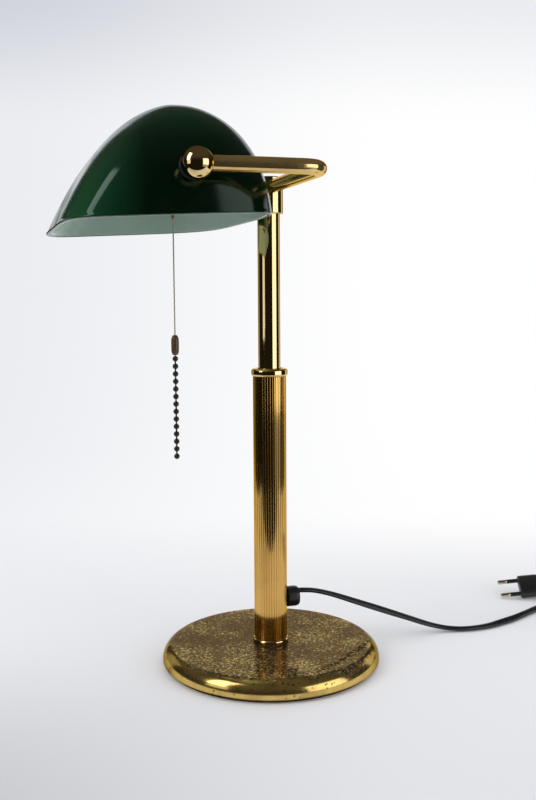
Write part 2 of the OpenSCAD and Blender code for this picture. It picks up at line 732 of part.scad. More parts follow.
// Pull switch: everything here moves with the string
module switch_lever() {
    low = string_top;
    color(old_brass) {
        translate([string_x, pivot_y, low + 2]) cylinder(r = 1.2, h = flange_z - low);
        translate([string_x, pivot_y, flange_z]) cylinder(r = 2.4, h = 1.5);
        translate([string_x, pivot_y, low]) rotate([90, 0, 0]) rotate_extrude() translate([2, 0]) circle(r = 0.7);
    }
}
module switch_spring() {
    turns = 4;
    low = pivot_z - holder_r + 1.2 + sleeve_wall;
    high = flange_z;
    path = [for (i = [0 : 12 * turns]) [string_x + 1.9 * cos(30 * i), pivot_y + 1.9 * sin(30 * i),
        low + 0.3 + (high - low - 0.6) * i / (12 * turns)]];
    color(steel) tube(path, 0.5, 0.5, 6, [1, 0, 0]);
}
module pull_string() {
    color(cream) translate([string_x, pivot_y, connector_top - 0.02])
        cylinder(r = string_d / 2, h = string_top - 2.7 - connector_top);
}
module chain_connector() {
    w = bead_d + 1.4;
    color([0.25, 0.17, 0.09]) translate([string_x, pivot_y, connector_top]) rotate_extrude() difference() {
        polygon([[0, 0], [1.2, 0], [w / 2 - 0.6, -1.6], [w / 2, -4], [w / 2, -connector_l + 5],
            [w / 2 - 0.5, -connector_l + 2], [w / 2 - 1.2, -connector_l], [0, -connector_l]]);
        translate([0, -connector_l - cut]) square([bead_d / 2 - 0.4, 4.6]);
    }
}
module bead_chain() {
    color([0.13, 0.10, 0.07]) for (i = [0 : beads - 1]) translate([string_x, pivot_y, chain_low + bead_d / 2 + i * bead_pitch]) {
        sphere(r = bead_d / 2, $fn = 32);
        if (i < beads - 1) cylinder(r = 0.6, h = bead_pitch);
    }
}

// Free lead: from the gland over the table into its coil, then to the plug
lead_path = concat([[0, gland_end - 5, lead_z, 0]], through(concat([[0, gland_end + 3, lead_z, 0]],
    LEAD_ROUTE, [[COIL_START[0], COIL_START[1], coil_z, 0]]), 2));
// Coil's radius and height after this many turns, and its point
function coil_radius(t) =
    t <= coil_turns ? coil_out_r - coil_pitch * t
    : t >= coil_turns + 0.5 ? coil_in_r + coil_pitch * (t - coil_turns - 0.5)
    : let (x = t - coil_turns) coil_in_r - coil_pitch * x + 2 * coil_pitch * x * x;
function coil_height(t) = let (x = min(1, max(0, (t - coil_turns) / 0.5)))
    coil_z + coil_step * x * x * (3 - 2 * x);
function coil_point(t) = [coil_mid[0] + coil_radius(t) * cos(360 * t - 90),
    coil_mid[1] + coil_radius(t) * sin(360 * t - 90), coil_height(t)];
coil_path = [for (i = [0 : round(coil_all * COIL_RINGS)]) coil_point(i / COIL_RINGS)];
plug_back = [sin(plug_turn) * cos(plug_dip), cos(plug_turn) * cos(plug_dip), sin(plug_dip)];
plug_rear = PLUG_FACE + plug_l * plug_back;
tail_path = through([last(coil_path), last(coil_path) - [0, 8, -0.6], plug_rear + [9.5, 22, 2.5],
    plug_rear + 10 * plug_back, plug_rear + 0.02 * plug_back], 3);
// Least clear space between turns of the coil: oval sections side by side or one above the other
function oval_gap(a, b) = let (d = b - a, flat = norm([d[0], d[1]]), k = norm([flat / lead_w, d[2] / lead_t]))
    (1 - 1 / k) * norm([flat, d[2]]);
coil_self_gap = min([for (i = [0 : len(coil_path) - 1]) for (j = [i + COIL_RINGS / 2 : len(coil_path) - 1])
    oval_gap(coil_path[i], coil_path[j])]);
echo(coil_self_gap = coil_self_gap);
echo(lead_length = length(lead_path) + length(coil_path) + length(tail_path));
echo(tail_length = length(tail_path));
module mains_cord() {
    color(black) tube(lead_path, lead_w, lead_t, 8);
}
module cord_coil() {
    color(black) tube(coil_path, lead_w, lead_t, 6);
}
module cord_tail() {
    color(black) tube(tail_path, lead_w, lead_t, 8);
}
module coil_tie() {
    mid_r = (coil_in_r + coil_out_r) / 2;
    w = coil_out_r - coil_in_r + lead_w + 3;
    h = coil_step + lead_t + 0.6 + tie_t;
    color([0.10, 0.10, 0.10]) translate([coil_mid[0], coil_mid[1], 0]) rotate([0, 0, 40])
        translate([mid_r, 0, 0]) rotate([90, 0, 0]) translate([0, 0, -tie_w / 2]) linear_extrude(tie_w) difference() {
            translate([-w / 2 - tie_t, 0]) square([w + 2 * tie_t, h + tie_t]);
            translate([-w / 2, tie_t]) square([w, h - tie_t]);
        }
}
// Plug, lying on one long edge, pins towards -Y
module on_plug() {
    translate(PLUG_FACE) rotate([0, 0, -plug_turn]) rotate([plug_dip, 0, 0]) rotate([0, plug_lean, 0]) children();
}
module plug_outline(w, t) {
    r = t / 2;
    union() {
        square([w - t, t], center = true);
        for (s = [-1, 1]) translate([s * (w - t) / 2, 0]) circle(r = r);
    }
}
module plug_body() {
    color(black) on_plug() rotate([-90, 0, 0]) difference() {
        union() {
            linear_extrude(plug_l * 0.55) plug_outline(plug_w, plug_t);
            translate([0, 0, plug_l * 0.55]) linear_extrude(plug_l * 0.25) plug_outline(plug_w - 5, plug_t - 1);
            translate([0, 0, plug_l * 0.8]) cylinder(r1 = plug_t / 2 - 0.8, r2 = lead_w / 2 + 0.8, h = plug_l * 0.2);
        }
        for (s = [-1, 1]) translate([s * pin_gap / 2, 0, -cut]) cylinder(r = pin_d / 2 + seat, h = 9);
    }
}
module plug_sleeves() {
    color(black) on_plug() for (s = [-1, 1]) translate([s * pin_gap / 2, 0, 0]) rotate([90, 0, 0]) difference() {
        cylinder(r = pin_d / 2 - 0.1, h = pin_l * 0.53);
        translate([0, 0, -cut]) cylinder(r = pin_d / 2 - 0.6 + seat, h = pin_l);
    }
}
module plug_pins() {
    color([0.75, 0.70, 0.62]) on_plug() for (s = [-1, 1]) translate([s * pin_gap / 2, 0, 0]) rotate([90, 0, 0]) {
        translate([0, 0, -7.5]) cylinder(r = pin_d / 2, h = 7.5 - face);
        translate([0, 0, -0.5]) cylinder(r = pin_d / 2 - 0.6, h = pin_l * 0.53 + 1);
        translate([0, 0, pin_l * 0.53 + face]) cylinder(r = pin_d / 2, h = pin_l * 0.47 - 1);
        translate([0, 0, pin_l - 1.1]) cylinder(r1 = pin_d / 2, r2 = pin_d / 2 - 1, h = 1.1);
    }
}

base_shell();
ballast();
bottom_plate();
felt_pad();
threaded_nipple();
base_washer();
base_nut();
column_plug();
foot_ring();
column();
column_collar();
cord_gland();
gland_nut();
column_lead();
glide_bush();
stem();
stem_glide();
hub();
hub_screws();
yoke();
yoke_balls();
pivot_tube();
pivot_stud();
pivot_spacers();
pivot_washers();
pivot_nuts();
holder_cap();
holder_core();
holder_sleeve();
socket_shell();
centre_contact();
bulb_cap();
bulb_glass();
yoke_lead();
shade();
shade_grommets();
switch_lever();
switch_spring();
pull_string();
chain_connector();
bead_chain();
mains_cord();
cord_coil();
cord_tail();
coil_tie();
plug_body();
plug_sleeves();
plug_pins();
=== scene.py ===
"""Desk lamp in polished brass with a cased green glass shade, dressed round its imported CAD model."""
import json
import math

import bpy
from mathutils import Matrix, Vector


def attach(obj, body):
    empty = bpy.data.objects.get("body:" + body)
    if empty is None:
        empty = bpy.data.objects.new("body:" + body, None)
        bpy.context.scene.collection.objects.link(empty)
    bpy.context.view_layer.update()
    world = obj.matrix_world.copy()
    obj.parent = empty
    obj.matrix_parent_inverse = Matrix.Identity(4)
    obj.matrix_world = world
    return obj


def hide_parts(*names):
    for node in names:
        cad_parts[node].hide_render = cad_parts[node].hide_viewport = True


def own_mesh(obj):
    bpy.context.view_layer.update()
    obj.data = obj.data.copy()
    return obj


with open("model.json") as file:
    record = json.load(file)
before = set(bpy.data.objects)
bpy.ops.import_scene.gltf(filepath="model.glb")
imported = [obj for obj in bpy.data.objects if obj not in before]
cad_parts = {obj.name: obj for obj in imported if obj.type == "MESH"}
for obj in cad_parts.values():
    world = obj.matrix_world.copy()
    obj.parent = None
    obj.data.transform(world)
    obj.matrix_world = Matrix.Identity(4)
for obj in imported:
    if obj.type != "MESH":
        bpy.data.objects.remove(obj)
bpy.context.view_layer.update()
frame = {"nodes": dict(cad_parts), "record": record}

MM = 0.001

# Sizes in millimetres, as part.scad has them
PIVOT_Y, PIVOT_Z = -82.0, 366.5
BASE_R, BASE_TOP, FELT_T = 85.0, 16.0, 1.5
COLUMN_R, COLUMN_IN, COLUMN_TOP, COLLAR_TOP = 12.75, 10.65, 225.0, 231.0
REEDS = 40
STEM_R, STEM_IN, STEM_LOW = 8.5, 7.0, 150.0
HUB_R, HUB_LOW, HUB_TOP = 11.0, 347.0, 374.0
ARM_X, YOKE_R, BEND_R, BALL_R = 123.0, 5.0, 14.0, 10.0
HOLDER_X, HOLDER_R = 73.0, 19.5
GLAND_Z, LEAD_Z = 50.0, 54.0
STRING_X = 45.0


# Camera, at the photograph's place: angles in radians, distances in metres

AZIMUTH, PITCH, ROLL = math.radians(73.06), 0.1117, -0.006
EYE_DISTANCE, EYE_RIGHT, EYE_HEIGHT = 0.7291, -0.0012, 0.2883
FOCAL_PIXELS, PHOTO_HEIGHT, SENSOR = 955.6, 800, 36.0


def make_camera():
    s, c = math.sin(AZIMUTH), math.cos(AZIMUTH)
    across = Vector((c, s, 0))
    place = Vector((s, -c, 0)) * EYE_DISTANCE + across * EYE_RIGHT + Vector((0, 0, EYE_HEIGHT))
    ahead = Vector((-s * math.cos(PITCH), c * math.cos(PITCH), -math.sin(PITCH)))
    up = across.cross(ahead)
    right = across * math.cos(ROLL) + up * math.sin(ROLL)
    top = up * math.cos(ROLL) - across * math.sin(ROLL)
    data = bpy.data.cameras.new("camera")
    data.sensor_fit = "VERTICAL"
    data.sensor_height = SENSOR
    data.lens = FOCAL_PIXELS * SENSOR / PHOTO_HEIGHT
    data.clip_start = 0.02
    camera = bpy.data.objects.new("camera", data)
    turn = Matrix((right, top, -ahead)).transposed()
    camera.matrix_world = Matrix.Translation(place) @ turn.to_4x4()
    bpy.context.scene.collection.objects.link(camera)
    bpy.context.scene.camera = camera


# Mesh helpers

def piece(name, points, faces, body, material, slot, stands_for=(), sharp=35, indices=None):
    """A mesh from points in millimetres, smooth except at edges sharper than the given angle."""
    mesh = bpy.data.meshes.new(name)
    mesh.from_pydata([Vector(p) * MM for p in points], [], faces)
    mesh.validate()
    for one in material if isinstance(material, (list, tuple)) else [material]:
        mesh.materials.append(one)
    if indices:
        mesh.polygons.foreach_set("material_index", indices)
    mesh.shade_smooth()
    mesh.set_sharp_from_angle(angle=math.radians(sharp))
    obj = bpy.data.objects.new(name, mesh)
    bpy.context.scene.collection.objects.link(obj)
    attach(obj, body)
    if stands_for:
        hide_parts(*stands_for)
    return obj


def rounded(outline, radius, steps=4):
    """The outline, in (radius, height) pairs, with each inner corner cut to a small curve.

    No cut takes as much as half of a side.
    """
    out = [outline[0]]
    for i in range(1, len(outline) - 1):
        a, b, c = (Vector(outline[i - 1]), Vector(outline[i]), Vector(outline[i + 1]))
        cut = min(radius, (a - b).length / 2.05, (c - b).length / 2.05)
        start, end = b + (a - b).normalized() * cut, b + (c - b).normalized() * cut
        for k in range(steps + 1):
            t = k / steps
            out.append(tuple(start * (1 - t) ** 2 + b * 2 * t * (1 - t) + end * t * t))
    out.append(outline[-1])
    return out


def arc(middle, radius, start, end, steps):
    """Pairs along an arc, from the start to the end angle in degrees."""
    angles = [math.radians(start + (end - start) * k / steps) for k in range(steps + 1)]
    return [(middle[0] + radius * math.cos(a), middle[1] + radius * math.sin(a)) for a in angles]


def oval(width, height, count):
    angles = [2 * math.pi * k / count for k in range(count)]
    return [(width / 2 * math.cos(a), height / 2 * math.sin(a)) for a in angles]


def stadium(width, height):
    """A flat outline with half-round ends."""
    count = 12
    r = height / 2
    side = width / 2 - r
    right = [(side + r * math.cos(a), r * math.sin(a)) for a in
             (math.radians(-90 + 180 * k / count) for k in range(count + 1))]
    left = [(-side + r * math.cos(a), r * math.sin(a)) for a in
            (math.radians(90 + 180 * k / count) for k in range(count + 1))]
    return right + left


def turned(outline, place=None, segments=96):
    """Points and faces of an outline of (radius, height) pairs turned about its axis."""
    points, faces, rings = [], [], []
    for radius, height in outline:
        if radius < 1e-4:
            rings.append([len(points)])
            points.append(Vector((0, 0, height)))
        else:
            rings.append(list(range(len(points), len(points) + segments)))
            for k in range(segments):
                a = 2 * math.pi * k / segments
                points.append(Vector((radius * math.cos(a), radius * math.sin(a), height)))
    for low, high in zip(rings, rings[1:]):
        for k in range(segments):
            j = (k + 1) % segments
            face = [low[k % len(low)], low[j % len(low)], high[j % len(high)], high[k % len(high)]]
            face = list(dict.fromkeys(face))
            if len(face) > 2:
                faces.append(face)
    if place:
        points = [place @ p for p in points]
    return points, faces


def joined(parts):
    """Several (points, faces) pairs as one."""
    points, faces = [], []
    for more_points, more_faces in parts:
        start = len(points)
        points += more_points
        faces += [[start + i for i in face] for face in more_faces]
    return points, faces


def bridged(rings, n, closed=False):
    """Faces from each ring of n points to the next. Closed goes on from the last ring to the first."""
    faces = []
    for i in range(rings if closed else rings - 1):
        after = (i + 1) % rings
        for k in range(n):
            j = (k + 1) % n
            faces.append([i * n + k, i * n + j, after * n + j, after * n + k])
    return faces


def end_caps(rings, n):
    return [list(range(n))[::-1], [(rings - 1) * n + k for k in range(n)]]


def placed(origin, axis):
    """A place whose height runs along axis, which isn't upright."""
    z = Vector(axis).normalized()
    up = Vector((0, 0, 1))
    x = (up - up.project(z)).normalized()
    turn = Matrix((x, z.cross(x), z)).transposed()
    return Matrix.Translation(Vector(origin)) @ turn.to_4x4()


def inwards(x, side=1):
    """From x on the tilt axis towards the lamp's middle."""
    return placed((side * x, PIVOT_Y, PIVOT_Z), (-side, 0, 0))


def through(points, steps):
    """A smooth curve through the points, with steps between each two, as part.scad draws it."""
    out = []
    for i in range(len(points) - 1):
        a, b = Vector(points[max(i - 1, 0)]), Vector(points[i])
        c, d = Vector(points[i + 1]), Vector(points[min(i + 2, len(points) - 1)])
        for k in range(steps):
            t = k / steps
            out.append(0.5 * (2 * b + (c - a) * t + (2 * a - 5 * b + 4 * c - d) * t * t
                              + (3 * b - a - 3 * c + d) * t ** 3))
    out.append(Vector(points[-1]))
    return out


def tube(path, outline, first=None, turns=None):
    """Points and faces of a tube along the path.

    Its outline stays level, or starts along first, and turns by degrees along the path.
    """
    count = len(path)
    points = []
    side = None
    for i, p in enumerate(path):
        ahead = (path[min(i + 1, count - 1)] - path[max(i - 1, 0)]).normalized()
        if first is None:
            side = Vector((0, 0, 1)).cross(ahead).normalized()
        else:
            side = Vector(first) if side is None else side
            side = (side - side.project(ahead)).normalized()
        other = ahead.cross(side)
        q = math.radians(turns[i]) if turns else 0.0
        for x, y in outline:
            points.append(p + side * (x * math.cos(q) - y * math.sin(q))
                          + other * (x * math.sin(q) + y * math.cos(q)))
    n = len(outline)
    return points, bridged(count, n) + end_caps(count, n)


# Materials

class Look:
    """A node material on the row frame's own coordinates, in metres."""

    def __init__(self, name, color, metallic=0.0, rough=0.4, ior=1.5):
        self.name = name
        self.material = bpy.data.materials.new(name)
        self.material.use_nodes = True
        self.nodes = self.material.node_tree.nodes
        self.links = self.material.node_tree.links
        self.shader = self.nodes["Principled BSDF"]
        self.set("Base Color", (*color, 1.0))
        self.set("Metallic", metallic)
        self.set("Roughness", rough)
        self.set("IOR", ior)
        coordinates = self.nodes.new("ShaderNodeTexCoord")
        self.where = coordinates.outputs["Object"]
        self.normal = coordinates.outputs["Normal"]

    def set(self, socket, value):
        self.shader.inputs[socket].default_value = value

    def split(self, vector):
        """The outputs X, Y and Z of a vector."""
        node = self.nodes.new("ShaderNodeSeparateXYZ")
        self.links.new(vector, node.inputs["Vector"])
        return node.outputs

    def noise(self, scale, detail=4.0, rough=0.55, twist=0.0):
        node = self.nodes.new("ShaderNodeTexNoise")
        node.inputs["Scale"].default_value = scale
        node.inputs["Detail"].default_value = detail
        node.inputs["Roughness"].default_value = rough
        node.inputs["Distortion"].default_value = twist
        self.links.new(self.where, node.inputs["Vector"])
        return node.outputs["Fac"]

    def cells(self, scale):
        node = self.nodes.new("ShaderNodeTexVoronoi")
        node.inputs["Scale"].default_value = scale
        self.links.new(self.where, node.inputs["Vector"])
        return node.outputs["Distance"]

    def ramp(self, value, stops):
        """A value turned into the colours or grey levels of (place, colour) stops."""
        node = self.nodes.new("ShaderNodeValToRGB")
        while len(node.color_ramp.elements) < len(stops):
            node.color_ramp.elements.new(0.5)
        for element, (place, color) in zip(node.color_ramp.elements, stops):
            element.position = place
            element.color = (*color, 1.0) if isinstance(color, tuple) else (color, color, color, 1.0)
        self.links.new(value, node.inputs["Fac"])
        return node.outputs["Color"]

    def math(self, kind, a, b=0.0):
        node = self.nodes.new("ShaderNodeMath")
        node.operation = kind
        for i, value in enumerate((a, b)):
            if isinstance(value, (int, float)):
                node.inputs[i].default_value = value
            else:
                self.links.new(value, node.inputs[i])
        return node.outputs["Value"]

    def mix(self, factor, a, b):
        """From colour a to colour b, each a colour or a socket."""
        node = self.nodes.new("ShaderNodeMix")
        node.data_type = "RGBA"
        for socket, value in (("Factor", factor), ("A", a), ("B", b)):
            entry = next(s for s in node.inputs if s.name == socket and s.enabled)
            if isinstance(value, tuple):
                entry.default_value = (*value, 1.0)
            else:
                self.links.new(value, entry)
        return next(s for s in node.outputs if s.enabled)

    def use(self, socket, value):
        self.links.new(value, self.shader.inputs[socket])

    def bump(self, value, strength, distance):
        node = self.nodes.new("ShaderNodeBump")
        node.inputs["Strength"].default_value = strength
        node.inputs["Distance"].default_value = distance
        self.links.new(value, node.inputs["Height"])
        self.links.new(node.outputs["Normal"], self.shader.inputs["Normal"])


def brass(name, bright, dull, rough, wear=0.5, lift=0.012, metallic=1.0):
    """Polished brass that clouds from bright to dull, with a little unevenness in its gloss."""
    look = Look(name, bright, metallic, rough)
    look.set("Specular Tint", (*bright, 1.0))
    clouds = look.noise(28, 5.0, 0.6)
    look.use("Base Color", look.ramp(clouds, [(0.35, bright), (0.35 + 0.5 / wear, dull)]))
    smears = look.noise(90, 6.0, 0.65)
    look.use("Roughness", look.ramp(smears, [(0.3, rough), (0.75, rough + 0.08 * wear)]))
    if lift:
        look.bump(look.noise(160, 4.0), lift, 0.0004)
    return look


def base_brass():
    """The base's brass: a brown patina with bright flecks on top, and a polished rim with a few pits."""
    look = Look("brass_base", (0.30, 0.20, 0.09), 1.0, 0.10)
    look.set("Specular Tint", (0.46, 0.38, 0.29, 1.0))

    # How far a place is from the lamp's upright axis, in tenths of a metre
    at = look.split(look.where)
    squares = look.math("ADD", look.math("POWER", at["X"], 2.0), look.math("POWER", at["Y"], 2.0))
    reach = look.math("MULTIPLY", look.math("POWER", squares, 0.5), 10.0)

    fine = look.noise(500, 3.0, 0.65, 0.8)
    spread = look.noise(34, 4.0, 0.65)
    grain = look.math("ADD", look.math("MULTIPLY", fine, 0.70), look.math("MULTIPLY", spread, 0.35))
    outer_wear = look.ramp(reach, [(0.40, 0.0), (0.80, 0.03)])
    top = look.ramp(look.math("ADD", grain, outer_wear),
                    [(0.46, (0.082, 0.057, 0.027)), (0.54, (0.138, 0.097, 0.046)),
                     (0.59, (0.195, 0.145, 0.068)), (0.64, (0.62, 0.47, 0.20))])

    pits = look.ramp(look.cells(230), [(0.10, (0.10, 0.06, 0.03)), (0.24, (0.70, 0.50, 0.15))])
    few = look.ramp(look.noise(38, 3.0), [(0.50, 0.0), (0.62, 1.0)])
    polished = look.ramp(look.noise(22, 5.0, 0.6), [(0.42, (0.74, 0.52, 0.17)), (0.66, (0.34, 0.21, 0.07))])
    rim = look.mix(few, polished, pits)

    ragged = look.math("ADD", reach, look.math("MULTIPLY", look.noise(40, 5.0, 0.75), 0.24))
    edge = look.ramp(ragged, [(0.905, 0.0), (0.93, 1.0)])
    look.use("Base Color", look.mix(edge, top, rim))
    look.use("Metallic", look.ramp(edge, [(0.0, 0.78), (1.0, 0.97)]))
    top_rough = look.ramp(grain, [(0.50, 0.06), (0.60, 0.24)])
    look.use("Roughness", look.mix(edge, top_rough, (0.16, 0.16, 0.16)))
    look.bump(grain, 0.010, 0.0004)
    return look


def green_glass():
    """The glass outside, dark green, with a painted glow: its colour is painted lighter green at the lip, the
    crown and the long sides, where light would come through.
    """
    look = Look("green_glass", (0.001, 0.012, 0.004), 0.0, 0.2, ior=1.38)
    look.set("Specular Tint", (0.75, 1.0, 0.88, 1.0))

    # Painted glow: the lip is painted lighter more and more from 110 to 167 mm in front of the stem, the
    # crown from 385 to 415 mm up, and the surface that faces neither end of the shade
    spot, facing = look.split(look.where), look.split(look.normal)
    lip = look.ramp(look.math("MULTIPLY", spot["Y"], -6.0), [(0.66, 0.0), (1.0, 1.0)])
    crown = look.ramp(look.math("MULTIPLY", spot["Z"], 2.0), [(0.77, 0.0), (0.83, 0.25)])
    sides = look.ramp(look.math("ABSOLUTE", facing["X"]), [(0.05, 0.55), (0.50, 0.0)])
    # The painted glow is the strongest of the three
    painted_glow = look.math("MAXIMUM", look.math("MAXIMUM", lip, crown), sides)
    deep = look.ramp(look.noise(14, 3.0), [(0.3, (0.0005, 0.006, 0.002)), (0.7, (0.0008, 0.009, 0.003))])
    look.use("Base Color", look.mix(painted_glow, deep, (0.012, 0.078, 0.030)))
    look.use("Roughness", look.ramp(look.noise(32, 4.0), [(0.40, 0.11), (0.65, 0.22)]))
    look.bump(look.noise(45, 2.0), 0.02, 0.0008)
    return look


def mottled(name, color, low, high, rough, grain, detail):
    """Glass whose colour drifts between a low and a high tone."""
    look = Look(name, color, 0.0, rough)
    look.use("Base Color", look.ramp(look.noise(grain, detail), [(0.3, low), (0.7, high)]))
    return look


def plain(name, color, rough, spread=0.25, metallic=0.0, grain=220, lift=0.05):
    """One colour with a fine spread of tone, gloss and height."""
    look = Look(name, color, metallic, rough)
    low = tuple(c * (1 - spread) for c in color)
    high = tuple(min(1.0, c * (1 + spread)) for c in color)
    look.use("Base Color", look.ramp(look.noise(grain), [(0.3, low), (0.7, high)]))
    gloss = look.noise(grain * 0.6)
    look.use("Roughness", look.ramp(gloss, [(0.3, rough * 0.85), (0.7, min(1.0, rough * 1.15))]))
    look.bump(look.noise(grain * 3, 3.0), lift, 0.0003)
    return look


def make_looks():
    """Every material, by its slot's name."""
    all_looks = [
        brass("brass", (0.84, 0.65, 0.32), (0.66, 0.49, 0.22), 0.04),
        brass("brass_worn", (0.86, 0.63, 0.26), (0.52, 0.36, 0.14), 0.07, 1.0, 0.02, 0.90),
        brass("brass_column", (0.76, 0.47, 0.14), (0.50, 0.29, 0.07), 0.06, 0.7, 0.0),
        brass("dark_brass", (0.36, 0.26, 0.13), (0.17, 0.12, 0.06), 0.28, 1.0, 0.04),
        base_brass(),
        green_glass(),
        mottled("opal_inside", (0.50, 0.64, 0.56), (0.46, 0.62, 0.53), (0.56, 0.69, 0.62), 0.22, 20, 3.0),
        mottled("glass_rim", (0.06, 0.11, 0.09), (0.03, 0.06, 0.045), (0.11, 0.17, 0.14), 0.25, 300, 4.0),
        plain("cast_iron", (0.10, 0.10, 0.105), 0.75, grain=500, lift=0.5),
        plain("steel_plate", (0.45, 0.45, 0.46), 0.38, 0.12, 1.0),
        plain("steel_fixings", (0.55, 0.55, 0.56), 0.30, 0.12, 1.0),
        plain("felt", (0.035, 0.020, 0.014), 0.95, 0.4, grain=900, lift=0.6),
        plain("black_plastic", (0.009, 0.009, 0.0095), 0.38, 0.3, grain=600, lift=0.12),
        plain("black_rubber", (0.020, 0.020, 0.020), 0.65, 0.3, grain=400),
        plain("black_lead", (0.006, 0.006, 0.0065), 0.30, 0.3, grain=400, lift=0.04),
        plain("tie_plastic", (0.02, 0.02, 0.021), 0.5, 0.3, grain=500),
        plain("nylon", (0.80, 0.76, 0.64), 0.45, 0.06),
        plain("porcelain", (0.80, 0.77, 0.70), 0.15, 0.05),
        plain("lamp_cap", (0.78, 0.78, 0.78), 0.25, 0.08, 1.0),
        plain("opal_glass", (0.93, 0.92, 0.88), 0.25, 0.03),
        plain("cream_string", (0.50, 0.44, 0.33), 0.85, 0.3, grain=1800, lift=0.4),
        plain("brown_plastic", (0.10, 0.055, 0.025), 0.32, 0.4, grain=420),
        plain("dark_beads", (0.050, 0.038, 0.028), 0.30, 0.5, 0.7, grain=380),
        plain("nickel_pins", (0.66, 0.58, 0.45), 0.22, 0.18, 1.0, grain=500)]
    return {look.name: look.material for look in all_looks}


# The free lead, its coil and its plug, along part.scad's own route

LEAD_W, LEAD_T = 5.6, 3.8
COIL_R, COIL_TURNS, COIL_GAP, COIL_RINGS = 24.0, 3.125, 0.6, 48
# Just clear of the gland's face, and three millimetres past it
LEAD_START, LEAD_NEXT = 22.27, 25.25
# Each further point's place, and how far the flat lead has turned there
LEAD_ROUTE = [
    (0, 34, 53, 0), (-2, 44, 50, 10), (-4, 56, 45.5, 20), (-6, 70, 39.5, 35), (-8, 84, 33.5, 45),
    (-10, 98, 27.5, 50), (-12, 112, 21.5, 45), (-14, 126, 15.5, 35), (-15, 139, 10, 25), (-15, 150, 6, 12),
    (-13, 161, 3.4, 5), (-10, 173, 2.4, 0), (-8.5, 186, 2.4, 0), (-9.5, 200, 2.5, 15), (-13, 214, 2.9, 40),
    (-18, 229, 3, 65), (-25, 244, 3.1, 80), (-32, 258, 3.1, 75), (-37, 270, 3, 55), (-38, 281, 2.9, 35),
    (-32, 291.5, 2.8, 15), (-21, 297.5, 2.8, 0)]
COIL_START = (-7.0, 299.0)
COIL_PITCH, COIL_STEP, COIL_Z = LEAD_W + COIL_GAP, LEAD_T + COIL_GAP, 0.9 + LEAD_T / 2
COIL_OUT = COIL_R + COIL_TURNS * COIL_PITCH
COIL_MID = (COIL_START[0], COIL_START[1] + COIL_OUT)
PLUG_FACE = Vector((-78.0, 271.0, 9.0))
PLUG_LEAN, PLUG_TURN, PLUG_DIP, PLUG_L = math.radians(22.0), math.radians(23.0), math.radians(7.5), 34.0
PIN_SPREAD = 9.5


def coil_point(t):
    """The coil after t turns: inwards on the table, up one layer in half a turn, then outwards."""
    over = t - COIL_TURNS
    if over <= 0:
        radius = COIL_OUT - COIL_PITCH * t
    elif over >= 0.5:
        radius = COIL_R + COIL_PITCH * (over - 0.5)
    else:
        radius = COIL_R - COIL_PITCH * over + 2 * COIL_PITCH * over * over
    rise = min(1.0, max(0.0, over / 0.5))
    angle = math.radians(360 * t - 90)
    return Vector((COIL_MID[0] + radius * math.cos(angle), COIL_MID[1] + radius * math.sin(angle),
                   COIL_Z + COIL_STEP * rise * rise * (3 - 2 * rise)))


def make_cords(looks):
    """The mains lead from the gland along its route, round its coil and on to the plug."""
    back = Vector((math.sin(PLUG_TURN) * math.cos(PLUG_DIP), math.cos(PLUG_TURN) * math.cos(PLUG_DIP),
                   math.sin(PLUG_DIP)))
    rear = PLUG_FACE + back * PLUG_L
    lead = through([(0, LEAD_NEXT, LEAD_Z, 0)] + LEAD_ROUTE + [(*COIL_START, COIL_Z, 0)], 4)
    lead = [Vector((0, LEAD_START, LEAD_Z, 0))] + lead
    coil_steps = round((2 * COIL_TURNS + 0.5) * COIL_RINGS)
    coil = [coil_point(i / COIL_RINGS) for i in range(1, coil_steps + 1)]
    end = coil[-1]
    tail = through([end, end - Vector((0, 8, -0.6)), rear + Vector((9.5, 22, 2.5)), rear + back * 10,
                    rear + back * 0.02], 5)[1:]
    path = [p.to_3d() for p in lead] + coil + tail
    turns = [p[3] for p in lead] + [0.0] * (len(coil) + len(tail))
    points, faces = tube(path, oval(LEAD_W, LEAD_T, 16), None, turns)
    cord = piece("mains_lead", points, faces, "base", looks["black_lead"], "black_lead",
                 ("mains_cord", "cord_coil", "cord_tail"), 60)
    plug = make_plug(looks, back)
    tie = make_tie(looks)


